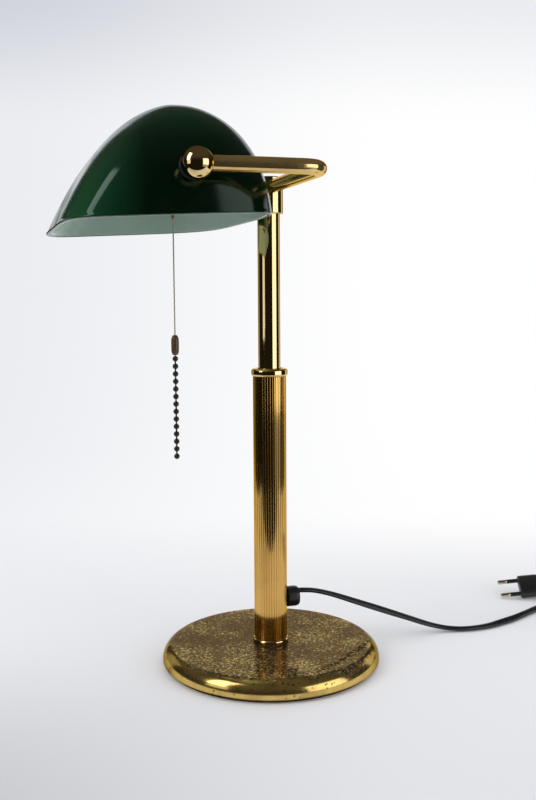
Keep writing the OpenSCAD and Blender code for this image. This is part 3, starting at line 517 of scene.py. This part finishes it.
def make_plug(looks, back):
    """The two-pin plug: its moulded body, then its sleeves and pins."""
    flat = Vector((-math.cos(PLUG_TURN), math.sin(PLUG_TURN), 0))
    lift = back.cross(flat)
    lift = -lift if lift.z < 0 else lift
    width = flat * math.cos(PLUG_LEAN) + lift * math.sin(PLUG_LEAN)
    depth = back.cross(width)
    place = Matrix((width, depth, back)).transposed().to_4x4()
    place.translation = PLUG_FACE
    # Distance from the face, width and thickness
    stations = [
        (0.0, 24.6, 11.4), (0.4, 25.4, 12.1), (1.2, 25.9, 12.45), (8, 25.9, 12.45), (15.5, 25.7, 12.4),
        (18.2, 24.6, 12.0), (20, 21.8, 11.4), (21.5, 20.8, 11.2), (25, 20.2, 11.0), (26.6, 17.5, 10.2),
        (27.4, 12.5, 9.0), (28.2, 10.2, 8.0), (31, 8.2, 6.6), (33.2, 7.2, 5.6), (33.9, 6.4, 4.8)]
    points = [place @ Vector((x, y, z)) for z, w, t in stations for x, y in stadium(w, t)]
    n = len(stadium(1, 1))
    faces = bridged(len(stations), n) + end_caps(len(stations), n)
    plastic = looks["black_plastic"]
    body = piece("plug_moulding", points, faces, "base", plastic, "black_plastic", ("plug_body",), 50)

    sleeve = [(1.45, -1), (2.6, -0.2), (2.6, 0.0), (2.1, 0.5), (1.92, 0.9), (1.92, 9.6), (1.78, 9.9),
              (1.45, 9.9)]
    pin = [(1.4, -5), (1.4, 9.9), (1.85, 9.95), (2.0, 10.2), (2.0, 17.4), (1.8, 18.2), (1.3, 18.8),
           (0, 19.0)]
    ends = [placed(PLUG_FACE + width * PIN_SPREAD * side, -back) for side in (-1, 1)]
    sleeves = joined([turned(sleeve, at, 32) for at in ends])
    pins = joined([turned(pin, at, 32) for at in ends])
    return [body, piece("pin_sleeves", *sleeves, "base", plastic, "black_plastic", ("plug_sleeves",)),
            piece("pin_tips", *pins, "base", looks["nickel_pins"], "nickel_pins", ("plug_pins",))]


def make_tie(looks):
    """A flat strip round the coil's turns at one place."""
    mid_r, half = (COIL_R + COIL_OUT) / 2, (COIL_OUT - COIL_R + LEAD_W + 3) / 2
    low, high, corner_r = 0.32, COIL_STEP + LEAD_T + 1.2, 2.6
    half_width, half_thickness = 2.9, 0.28
    end, top, bottom = half - corner_r, high - corner_r, low + corner_r
    line = []
    for middle, start in (((end, bottom), -90), ((end, top), 0), ((-end, top), 90), ((-end, bottom), 180)):
        line += arc(middle, corner_r, start, start + 90, 8)
    turn = math.radians(40)
    out = Vector((math.cos(turn), math.sin(turn), 0))
    side = Vector((-math.sin(turn), math.cos(turn), 0))
    mid = Vector((*COIL_MID, 0)) + out * mid_r
    points = []
    for x, z in line:
        p = mid + out * x + Vector((0, 0, z))
        inward = (mid + Vector((0, 0, (low + high) / 2)) - p).normalized() * half_thickness
        for w, t in ((-half_width, -1), (half_width, -1), (half_width, 1), (-half_width, 1)):
            points.append(p + side * w + inward * t)
    faces = bridged(len(line), 4, closed=True)
    return piece("lead_tie", points, faces, "base", looks["tie_plastic"], "tie_plastic", ("coil_tie",), 40)


# The pull string, its connector and the bead chain

STRING_TOP, CONNECTOR_TOP, STRING_END, CHAIN_LOW = 338.3, 259.7, 173.0, 172.7
BEADS, BEAD_R, BEAD_PITCH = 14, 2.0, 5.27
SPRING_LOW, SPRING_HIGH, SPRING_COILS, STROKE = 349.7, 360.2, 4, 8.0


def make_pull(looks):
    """A string of three strands, twisted by some degrees a row, then its connector and its beads."""
    rows, twist, string_r, bulge = 120, 40.0, 0.48, 0.06
    path = [Vector((STRING_X, PIVOT_Y, STRING_TOP + (STRING_END - STRING_TOP) * i / rows))
            for i in range(rows + 1)]
    angles = [2 * math.pi * k / 12 for k in range(12)]
    radii = [string_r + bulge * math.cos(3 * a) for a in angles]
    strands = [(r * math.cos(a), r * math.sin(a)) for r, a in zip(radii, angles)]
    points, faces = tube(path, strands, (1, 0, 0), [twist * i for i in range(rows + 1)])
    string = piece("twisted_string", points, faces, "pull", looks["cream_string"], "cream_string",
                   ("pull_string",), 70)

    outline = [(0, 0), (0.9, 0), (1.5, -0.3), (2.2, -1.3), (2.6, -2.8), (2.7, -4.4), (2.7, -10.2),
               (2.5, -12.0), (2.0, -13.4), (1.5, -14.0), (1.2, -13.0), (0, -12.8)]
    shell = turned(rounded(outline, 0.4), Matrix.Translation((STRING_X, PIVOT_Y, CONNECTOR_TOP)), 48)
    connector = piece("connector_shell", *shell, "pull", looks["brown_plastic"], "brown_plastic",
                      ("chain_connector",))

    ball = [(0, -BEAD_R), *arc((0, 0), BEAD_R, -90, 90, 14)[1:-1], (0, BEAD_R)]
    neck = [(0.95, 1.62), (0.6, 1.95), (0.55, BEAD_PITCH / 2), (0.6, BEAD_PITCH - 1.95),
            (0.95, BEAD_PITCH - 1.62)]
    parts = []
    for i in range(BEADS):
        at = Matrix.Translation((STRING_X, PIVOT_Y, CHAIN_LOW + BEAD_R + i * BEAD_PITCH))
        parts.append(turned(ball, at, 28))
        if i < BEADS - 1:
            parts.append(turned(neck, at, 12))
    chain = piece("beads", *joined(parts), "pull", looks["dark_beads"], "dark_beads", ("bead_chain",), 45)


def make_spring(looks):
    """The return spring under the lever's flange, drawn at rest; in the lamp it closes up as the string comes
    down.
    """
    coil_r, wire, end_gap, steps = 1.9, 0.5, 0.3, 24
    span = SPRING_HIGH - SPRING_LOW
    path = []
    for k in range(steps * SPRING_COILS + 1):
        a = 2 * math.pi * k / steps
        z = SPRING_LOW + end_gap + (span - 2 * end_gap) * a / (2 * math.pi * SPRING_COILS)
        path.append(Vector((STRING_X + coil_r * math.cos(a), PIVOT_Y + coil_r * math.sin(a), z)))
    points, faces = tube(path, oval(wire, wire, 10), (1, 0, 0))
    spring = piece("return_spring", points, faces, "pull", looks["steel_fixings"], "steel_fixings",
                   ("switch_spring",), 60)
    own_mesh(spring)


# Base, column and stem

def make_stand(looks):
    """The base, its felt, the column with its two rings, the stem and the gland."""
    # The rim is a wide quarter round that ends in a tight curl above a recess over the felt
    round_w, round_h, curl_r, recess_r = 10, 11.8, 1.2, 81.2
    curl_z = BASE_TOP - round_h
    rim = [(BASE_R - round_w + round_w * math.sin(t), curl_z + round_h * math.cos(t)) for t in
           (math.pi / 2 * k / 24 for k in range(24, -1, -1))]
    curl = arc((BASE_R - curl_r, curl_z), curl_r, -90, -15, 5)
    outline = [(76.5, FELT_T + 0.05), (76.5, FELT_T), (recess_r, FELT_T), (recess_r, 3.0)] + curl + rim
    outline += rounded([(75.0, BASE_TOP), (5.4, BASE_TOP), (5.4, 14.2)], 0.2)[1:]
    outline += [(74.0, 14.2), (76.5, 12.0)]
    shell = turned(outline + [outline[0]], None, 192)
    piece("base_skin", *shell, "base", looks["brass_base"], "brass_base", ("base_shell",), 50)

    felt = rounded([(0, 0.0), (81.0, 0.0), (81.0, 1.48), (0, 1.48)], 0.25)
    piece("felt_sheet", *turned(felt, None, 160), "base", looks["felt"], "felt", ("felt_pad",))

    ring = [(12.8, 16.02), *arc((12.12, 17.75), 1.73, -90, 90, 14), (12.8, 19.48)]
    piece("foot_bead", *turned(ring, None, 128), "base", looks["brass"], "brass", ("foot_ring",))

    piece("reeded_tube", *reeded_tube(), "base", looks["brass_column"], "brass_column", ("column",), 60)

    lower = arc((12.0, COLUMN_TOP + 2), 2.0, -80, 0, 8)
    upper = arc((12.0, COLLAR_TOP - 2), 2.0, 0, 80, 8)
    collar = [(8.75, COLUMN_TOP + 0.05), (12.4, COLUMN_TOP + 0.05)] + lower + upper
    collar += [(12.2, COLLAR_TOP), (10.6, COLLAR_TOP), (10.2, COLLAR_TOP - 0.4), (8.75, COLLAR_TOP - 0.4)]
    ring = turned(rounded(collar, 0.15, 2), None, 128)
    piece("collar_ring", *ring, "base", looks["brass"], "brass", ("column_collar",), 40)

    stem_top = 355.9
    rod = rounded([(STEM_IN, STEM_LOW), (STEM_R, STEM_LOW), (STEM_R, stem_top), (STEM_IN, stem_top)], 0.3)
    piece("stem_tube", *turned(rod + [rod[0]], None, 128), "stem", looks["brass"], "brass", ("stem",))

    gland = rounded([(0, 12.82), (7.9, 12.82), (7.9, 20.2), (7.2, 22.2), (0, 22.25)], 0.45)
    neck = [(5.0, 7.3), (5.0, 12.9)]
    at = placed((0, 0, GLAND_Z), (0, 1, 0))
    both = joined([turned(gland, at, 72), turned(neck, at, 48)])
    piece("gland_body", *both, "base", looks["black_plastic"], "black_plastic", ("cord_gland",), 40)


def reeded_tube():
    """The column: each reed a nearly flat land between two narrow grooves, from base to collar."""
    steps, crown, groove, land, step_in = 14, 0.05, 0.30, 0.72, 0.3
    heights = [BASE_TOP, BASE_TOP + step_in, COLUMN_TOP - step_in, COLUMN_TOP]
    ring = []
    for i in range(REEDS):
        for k in range(steps):
            u = -1 + 2 * k / steps
            a = 2 * math.pi * (i + u / 2) / REEDS
            r = COLUMN_R - crown * u * u - groove * max(0.0, (abs(u) - land) / (1 - land)) ** 1.5
            ring.append((r, a))
    points = []
    for z in heights:
        points += [(r * math.cos(a), r * math.sin(a), z) for r, a in ring]
    for z in (COLUMN_TOP, BASE_TOP):
        points += [(COLUMN_IN * math.cos(a), COLUMN_IN * math.sin(a), z) for r, a in ring]
    return points, bridged(len(heights) + 2, len(ring), closed=True)


def make_inner_lead(looks):
    """The lead inside the column, drawn at rest; in the lamp it gives way as the stem comes down on it."""
    top, travel = STEM_LOW - 0.3, 85.0
    path = through([(0, COLUMN_R, 51), (0, 7.25, 50.5), (0, 3, 56), (0, -2, 68), (0, 3, 86), (0, -3, 106),
                    (0, 0, 126), (0, 0, top)], 4)
    points, faces = tube(path, oval(3.6, 3.6, 12), (1, 0, 0))
    lead = piece("inner_lead", points, faces, "base", looks["black_lead"], "black_lead", ("column_lead",), 60)
    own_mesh(lead)


# Hub, yoke, balls and pivots

def make_yoke(looks):
    """The hub, the bent tube, and at each of its ends a ball, a spacer and the glass's grommet."""
    hub = rounded([(8.6, HUB_LOW), (HUB_R, HUB_LOW), (HUB_R, HUB_TOP), (0, HUB_TOP)], 0.9, 5)
    piece("hub_block", *turned(hub, None, 128), "stem", looks["brass"], "brass", ("hub",), 40)

    half, steps = ARM_X - BEND_R, 16
    path = [Vector((x, 0, PIVOT_Z)) for x in (0, 20, 60, half - 6, half - 2)]
    path += [Vector((half + BEND_R * math.sin(a), -BEND_R + BEND_R * math.cos(a), PIVOT_Z))
             for a in (math.pi / 2 * k / steps for k in range(steps + 1))]
    path += [Vector((ARM_X, y, PIVOT_Z)) for y in (-BEND_R - 3, -BEND_R - 20, -60, PIVOT_Y + 4)]
    whole = [Vector((-p.x, p.y, p.z)) for p in path[:0:-1]] + path
    bent = tube(whole, oval(2 * YOKE_R, 2 * YOKE_R, 48), (0, 0, 1))
    piece("yoke_tube", *bent, "stem", looks["brass_worn"], "brass", ("yoke",), 50)

    spacer_x, grommet_x = 113.6, 109.5
    ball = [(0, -BALL_R), *arc((0, 0), BALL_R, -90, 70.05, 44)[1:], (3.2, 9.4), (0, 9.4)]
    spacer = rounded([(5.05, 0), (7.5, 0), (7.5, 4.05), (5.05, 4.05), (5.05, 0.01)], 0.5)
    grommet = rounded([(5.1, 0), (8.5, 0), (8.5, 2.6), (6.4, 2.6), (6.4, 6.5), (8.5, 6.5), (8.5, 9.1),
                       (5.1, 9.1), (5.1, 0.01)], 0.6)

    def both_ends(outline, x, segments):
        return joined([turned(outline, inwards(x, side), segments) for side in (-1, 1)])

    balls = both_ends(ball, ARM_X, 96)
    piece("arm_balls", *balls, "stem", looks["brass"], "brass", ("yoke_balls",), 30)
    spacers = both_ends(spacer, spacer_x, 64)
    piece("spacer_rings", *spacers, "stem", looks["brass"], "brass", ("pivot_spacers",))
    grommets = both_ends(grommet, grommet_x, 64)
    piece("grommet_rings", *grommets, "shade", looks["black_rubber"], "black_rubber", ("shade_grommets",))


# Shade

SHADE_W, SHADE_H, SHADE_F, SHADE_R = 220.0, 79.5, 82.0, 60.5
CROWN_BACK, CROWN_UP, WIDEST, GLASS = 3.0, 50.0, 25.0, 3.5
TILT = math.radians(2.6)
OUTSIDE, INSIDE, LIP = 0, 1, 2


def closing(z, power, share):
    """How far the wall reaches at drop z, both from 0 at the crown to 1 at the rim."""
    def reach(t):
        return (1 - abs(1 - t) ** power) ** (1 / power)
    return reach(z * share) / reach(share)


def shade_point(z, angle, thin):
    """A point of the shade's wall at drop z and plan angle, thinned all round, as part.scad has it."""
    s, c = math.sin(angle), math.cos(angle)
    ends = (SHADE_W / 2 - thin) * closing(z, 3.0, 0.93)
    front = (SHADE_F - thin) * closing(z, 1.96, 0.16)
    rear = (SHADE_R - thin) * closing(z, 2.36, 1.0)
    middle = -WIDEST * z
    rim_power = 5.6 if s < 0 else 4.6
    square = 2 + (rim_power - 2) * z
    k = (abs(c) ** square + abs(s) ** square) ** (-1 / square)
    reach = front + middle if s < 0 else rear - middle
    return Vector((ends * c * k, CROWN_BACK + middle + reach * s * k, CROWN_UP - thin - (SHADE_H - thin) * z))


def make_shade(looks):
    """The glass in rings: down the outside, round the lip in two quarter rounds, and up the inside."""
    columns, rows, lip_r, lip_steps = 288, 64, 1.3, 6
    drops = [(i / rows) ** 1.5 for i in range(1, rows + 1)]
    angles = [2 * math.pi * k / columns for k in range(columns)]
    outer = [shade_point(1.0, a, 0.0) for a in angles]
    inner = [shade_point(1.0, a, GLASS) for a in angles]

    def lip_ring(q, from_inside):
        """The lip's ring at angle q of its quarter round."""
        share, lift = lip_r * (1 - math.cos(q)) / GLASS, lip_r * (1 - math.sin(q))
        share = 1 - share if from_inside else share
        return [o.lerp(i, share) + Vector((0, 0, lift)) for o, i in zip(outer, inner)]

    # The rings near the lip's middle have its own look, the others their wall's
    quarter = [math.pi / 2 * k / lip_steps for k in range(lip_steps + 1)]
    rings = [[shade_point(z, a, 0.0) for a in angles] for z in drops[:-1]]
    kinds = [OUTSIDE] * len(rings)
    rings += [lip_ring(q, False) for q in quarter]
    kinds += [OUTSIDE] * 3 + [LIP] * 4
    rings += [lip_ring(q, True) for q in reversed(quarter)]
    kinds += [LIP] * 4 + [INSIDE] * 3
    rings += [[shade_point(z, a, GLASS) for a in angles] for z in drops[-2::-1]]
    kinds += [INSIDE] * (rows - 1)

    points = [p for ring in rings for p in ring]
    top, under = len(points), len(points) + 1
    points += [shade_point(0.0, 0.0, 0.0), shade_point(0.0, 0.0, GLASS)]
    faces, indices = [], []
    for i in range(len(rings) - 1):
        for k in range(columns):
            j = (k + 1) % columns
            faces.append([i * columns + j, i * columns + k, (i + 1) * columns + k, (i + 1) * columns + j])
            indices.append(LIP if kinds[i] == LIP else kinds[i + 1])
    last = (len(rings) - 1) * columns
    for k in range(columns):
        j = (k + 1) % columns
        faces += [[top, k, j], [under, last + j, last + k]]
        indices += [OUTSIDE, INSIDE]
    turn = Matrix.Rotation(TILT, 3, "X")
    points = [turn @ p + Vector((0, PIVOT_Y, PIVOT_Z)) for p in points]
    glass = [looks["green_glass"], looks["opal_inside"], looks["glass_rim"]]
    piece("glass_shade", points, faces, "shade", glass, "green_glass", ("shade",), 180, indices)


# Lampholder and lamp

def make_lamp(looks):
    """The lampholder's cap and sleeve, and the candle lamp with its thread."""
    dome_r, dome_mid = 19.0, 16
    dome = [(dome_r * math.cos(math.radians(a)), dome_mid + dome_r * math.sin(math.radians(a)))
            for a in range(-42, 1, 6)]
    cap = [(5.1, 0), (8.0, 0), (8.0, 3.4)] + dome + [(dome_r, 23.95), (17.9, 23.95), (17.9, dome_mid)]
    cap = turned(rounded(cap, 0.5), inwards(HOLDER_X), 96)
    piece("holder_dome", *cap, "stem", looks["brass"], "brass", ("holder_cap",), 40)

    sleeve = [(17.1, 24.1), (HOLDER_R, 24.1), (HOLDER_R, 27.0), (18.3, 27.4), (18.3, 50), (18.5, 52.2),
              (19.1, 53.2), (18.6, 54.0), (17.4, 53.6), (17.1, 52)]
    sleeve = turned(rounded(sleeve, 0.5) + [sleeve[0]], inwards(HOLDER_X), 96)
    piece("holder_tube", *sleeve, "stem", looks["brass"], "brass", ("holder_sleeve",), 40)

    # The lamp's glass swells from its neck to its widest part and then closes to a blunt tip
    neck, tip, widest_r, widest_at, rows = 59.25, 130.25, 18.0, 0.42, 40
    outline = [(0, neck)]
    for i in range(rows):
        h = math.sin(math.pi / 2 * i / rows)
        if h < widest_at:
            radius = widest_r * (0.66 + 0.34 * math.sin(math.pi / 2 * h / widest_at))
        else:
            radius = widest_r * (1 - ((h - widest_at) / (1 - widest_at)) ** 2) ** 0.62
        outline.append((radius, neck + h * (tip - neck)))
    outline.append((0, tip))
    glass = turned(outline, inwards(HOLDER_X), 72)
    piece("lamp_glass", *glass, "stem", looks["opal_glass"], "opal_glass", ("bulb_glass",))

    thread_low, thread_pitch, threads = 41.8, 3.6, 4
    thread = [(0, 35.3), (4.6, 35.3), (5.0, 36.2), (11.1, 40.2), (12.4, 41.2)]
    for i in range(threads):
        low = thread_low + thread_pitch * i
        thread += [(12.5, low), (13.1, low + 1.4), (12.5, low + 2.8)]
    thread += [(12.4, 57.0), (11.9, 59.1), (0, 59.1)]
    thread = turned(rounded(thread, 0.5), inwards(HOLDER_X), 72)
    piece("lamp_thread", *thread, "stem", looks["lamp_cap"], "lamp_cap", ("bulb_cap",))


def dress_frame(looks):
    """Each CAD node that stays gets its slot's look."""
    slots = {s["node"]: s.get("material_slot", s["node"]) for s in frame["record"]["subparts"]}
    for name, node in frame["nodes"].items():
        if slots.get(name) in looks:
            node.data.materials.clear()
            node.data.materials.append(looks[slots[name]])


# Floor, backdrop and lights, placed along the camera's own right and ahead directions

AWAY = Vector((-math.sin(AZIMUTH), math.cos(AZIMUTH), 0))
RIGHT = Vector((math.cos(AZIMUTH), math.sin(AZIMUTH), 0))
UP = Vector((0, 0, 1))
# Each panel's place to the right, away and up, its width, height and power, and the height that it faces
PANELS = {
    "left_box": (-0.95, -0.55, 1.0, 0.50, 0.9, 5.2, 0.35),
    "left_card": (-0.90, -0.63, 0.38, 0.45, 0.36, 0.5, 0.38),
    "right_box": (0.98, -0.62, 0.42, 0.92, 0.74, 3.85, 0.42),
    "right_card": (0.98, -0.62, -0.13, 0.92, 0.36, 0.4, -0.13),
    "back_card": (0.92, 0.77, 0.20, 0.50, 0.9, 1.1, 0.20),
    "back_left_card": (-0.92, 0.77, 0.20, 0.50, 0.9, 0.5, 0.20)}
PAPER = (0.87, 0.87, 0.89)
PAPER_NEAR, PAPER_FAR, PAPER_HALF, PAPER_BEND, PAPER_TOP = -0.34, 0.9, 0.64, 0.5, 1.15
# Painted shade on the paper: the glow darker to the left and towards its top, the near floor darker towards
# the front, most at the left
WALL_LEFT, WALL_RIGHT = (0.83, 0.845, 0.88), (1.0, 1.0, 1.0)
TOP_LEFT, TOP_RIGHT = (0.63, 0.65, 0.71), (0.82, 0.83, 0.86)
FRONT_LEFT, FRONT_RIGHT = (0.49, 0.49, 0.515), (0.75, 0.75, 0.78)
SKY, SKY_LOW, SKY_HIGH = (0.97, 0.98, 1.0, 1), 0.08, 1.00
ROOM, ROOM_LOW, ROOM_HIGH = (1.0, 0.86, 0.72, 1), 0.012, 0.06
BEYOND = (0.83, 0.84, 0.87, 1)


def make_stage():
    """A pale paper sweep under and behind the lamp, six lit panels, and the world."""
    paper = Look("paper", PAPER, 0.0, 0.9)
    glow_on_paper(paper)
    steps = 16
    bend = [(PAPER_FAR + PAPER_BEND * math.sin(a), PAPER_BEND - PAPER_BEND * math.cos(a))
            for a in (math.pi / 2 * k / steps for k in range(1, steps + 1))]
    line = [(PAPER_NEAR, 0.0), (PAPER_FAR, 0.0)] + bend + [(PAPER_FAR + PAPER_BEND, PAPER_TOP)]
    points = [AWAY * d + RIGHT * s + UP * z for s in (-PAPER_HALF, PAPER_HALF) for d, z in line]
    n = len(line)
    mesh = bpy.data.meshes.new("backdrop")
    mesh.from_pydata(points, [], [[i, n + i, n + i + 1, i + 1] for i in range(n - 1)])
    mesh.materials.append(paper.material)
    mesh.shade_smooth()
    stage = bpy.data.objects.new("backdrop", mesh)
    bpy.context.scene.collection.objects.link(stage)

    for name, values in PANELS.items():
        softbox(name, *values)
    make_world()
    bpy.context.scene.view_settings.view_transform = "Standard"


def softbox(name, right, ahead, height, width, tall, power, aim):
    """A lit panel, placed from the lamp's foot, that faces the lamp's axis at height aim."""
    data = bpy.data.lights.new(name, "AREA")
    data.shape = "RECTANGLE"
    data.size, data.size_y = width, tall
    data.energy = power
    light = bpy.data.objects.new(name, data)
    place = RIGHT * right + AWAY * ahead + UP * height
    turn = (UP * aim - place).to_track_quat("-Z", "Y").to_matrix().to_4x4()
    light.matrix_world = Matrix.Translation(place) @ turn
    bpy.context.scene.collection.objects.link(light)


def mapped(tree, value, start, end, low, high):
    """A value mapped from start and end to low and high."""
    node = tree.nodes.new("ShaderNodeMapRange")
    for socket, number in (("From Min", start), ("From Max", end), ("To Min", low), ("To Max", high)):
        node.inputs[socket].default_value = number
    tree.links.new(value, node.inputs["Value"])
    return node


def blended(tree, factor, a, b):
    """From shader a to shader b."""
    node = tree.nodes.new("ShaderNodeMixShader")
    tree.links.new(factor, node.inputs["Fac"])
    tree.links.new(a, node.inputs[1])
    tree.links.new(b, node.inputs[2])
    return node.outputs["Shader"]


def make_world():
    """A sky that lights from above. Mirrors show a dark room instead, and the camera a plain pale tone."""
    world = bpy.data.worlds.new("world")
    bpy.context.scene.world = world
    world.use_nodes = True
    tree = world.node_tree
    tree.nodes.remove(tree.nodes["Background"])
    where = tree.nodes.new("ShaderNodeTexCoord")
    height = tree.nodes.new("ShaderNodeSeparateXYZ")
    tree.links.new(where.outputs["Generated"], height.inputs["Vector"])

    def background(color, span=None):
        """One tone, whose strength goes with height if span is given."""
        node = tree.nodes.new("ShaderNodeBackground")
        node.inputs["Color"].default_value = color
        if span:
            strength = mapped(tree, height.outputs["Z"], *span)
            tree.links.new(strength.outputs["Result"], node.inputs["Strength"])
        return node.outputs["Background"]

    sky = background(SKY, (0.0, 0.8, SKY_LOW, SKY_HIGH))
    room = background(ROOM, (0.2, 0.6, ROOM_LOW, ROOM_HIGH))
    rays = tree.nodes.new("ShaderNodeLightPath").outputs
    mirrored = blended(tree, rays["Is Glossy Ray"], sky, room)
    seen = blended(tree, rays["Is Camera Ray"], mirrored, background(BEYOND))
    tree.links.new(seen, tree.nodes["World Output"].inputs["Surface"])


def glow_on_paper(paper):
    """A steady pale glow on the paper's far part for every ray that looks at it, with painted shade: darker
    to the left and towards the top. The near floor's colour is painted darker towards the front, most at the
    left.
    """
    tree = paper.material.node_tree

    def along(axis, start, end):
        """0 to 1 between two distances along axis."""
        dot = tree.nodes.new("ShaderNodeVectorMath")
        dot.operation = "DOT_PRODUCT"
        dot.inputs[1].default_value = axis
        tree.links.new(paper.where, dot.inputs[0])
        fade = mapped(tree, dot.outputs["Value"], start, end, 0.0, 1.0)
        fade.interpolation_type = "SMOOTHSTEP"
        return fade.outputs["Result"]

    # Painted shade on the near floor: its colour darker towards the front, most at the left
    front = paper.mix(along(RIGHT, -0.25, 0.10), FRONT_LEFT, FRONT_RIGHT)
    paper.use("Base Color", paper.mix(along(AWAY, -0.32, 0.10), front, PAPER))

    # Painted shade in the far part's glow: darker to the left and towards the top
    across = along(RIGHT, -0.62, 0.30)
    wall, top = paper.mix(across, WALL_LEFT, WALL_RIGHT), paper.mix(across, TOP_LEFT, TOP_RIGHT)
    painted_glow = tree.nodes.new("ShaderNodeEmission")
    tree.links.new(paper.mix(along(UP, 0.63, 0.95), wall, top), painted_glow.inputs["Color"])
    rays = tree.nodes.new("ShaderNodeLightPath").outputs
    looking = paper.math("MAXIMUM", rays["Is Camera Ray"],
                         paper.math("MAXIMUM", rays["Is Glossy Ray"], rays["Is Transmission Ray"]))
    far = paper.math("MULTIPLY", along(AWAY, 0.06, 0.52), looking)
    sheet = blended(tree, far, paper.shader.outputs["BSDF"], painted_glow.outputs["Emission"])

    # From behind, the sheet is seen through
    clear = tree.nodes.new("ShaderNodeBsdfTransparent").outputs["BSDF"]
    behind = tree.nodes.new("ShaderNodeNewGeometry").outputs["Backfacing"]
    surface = tree.nodes["Material Output"].inputs["Surface"]
    tree.links.new(blended(tree, behind, sheet, clear), surface)


make_camera()
looks = make_looks()
make_cords(looks)
make_pull(looks)
make_spring(looks)
make_stand(looks)
make_inner_lead(looks)
make_yoke(looks)
make_shade(looks)
make_lamp(looks)
dress_frame(looks)
make_stage()
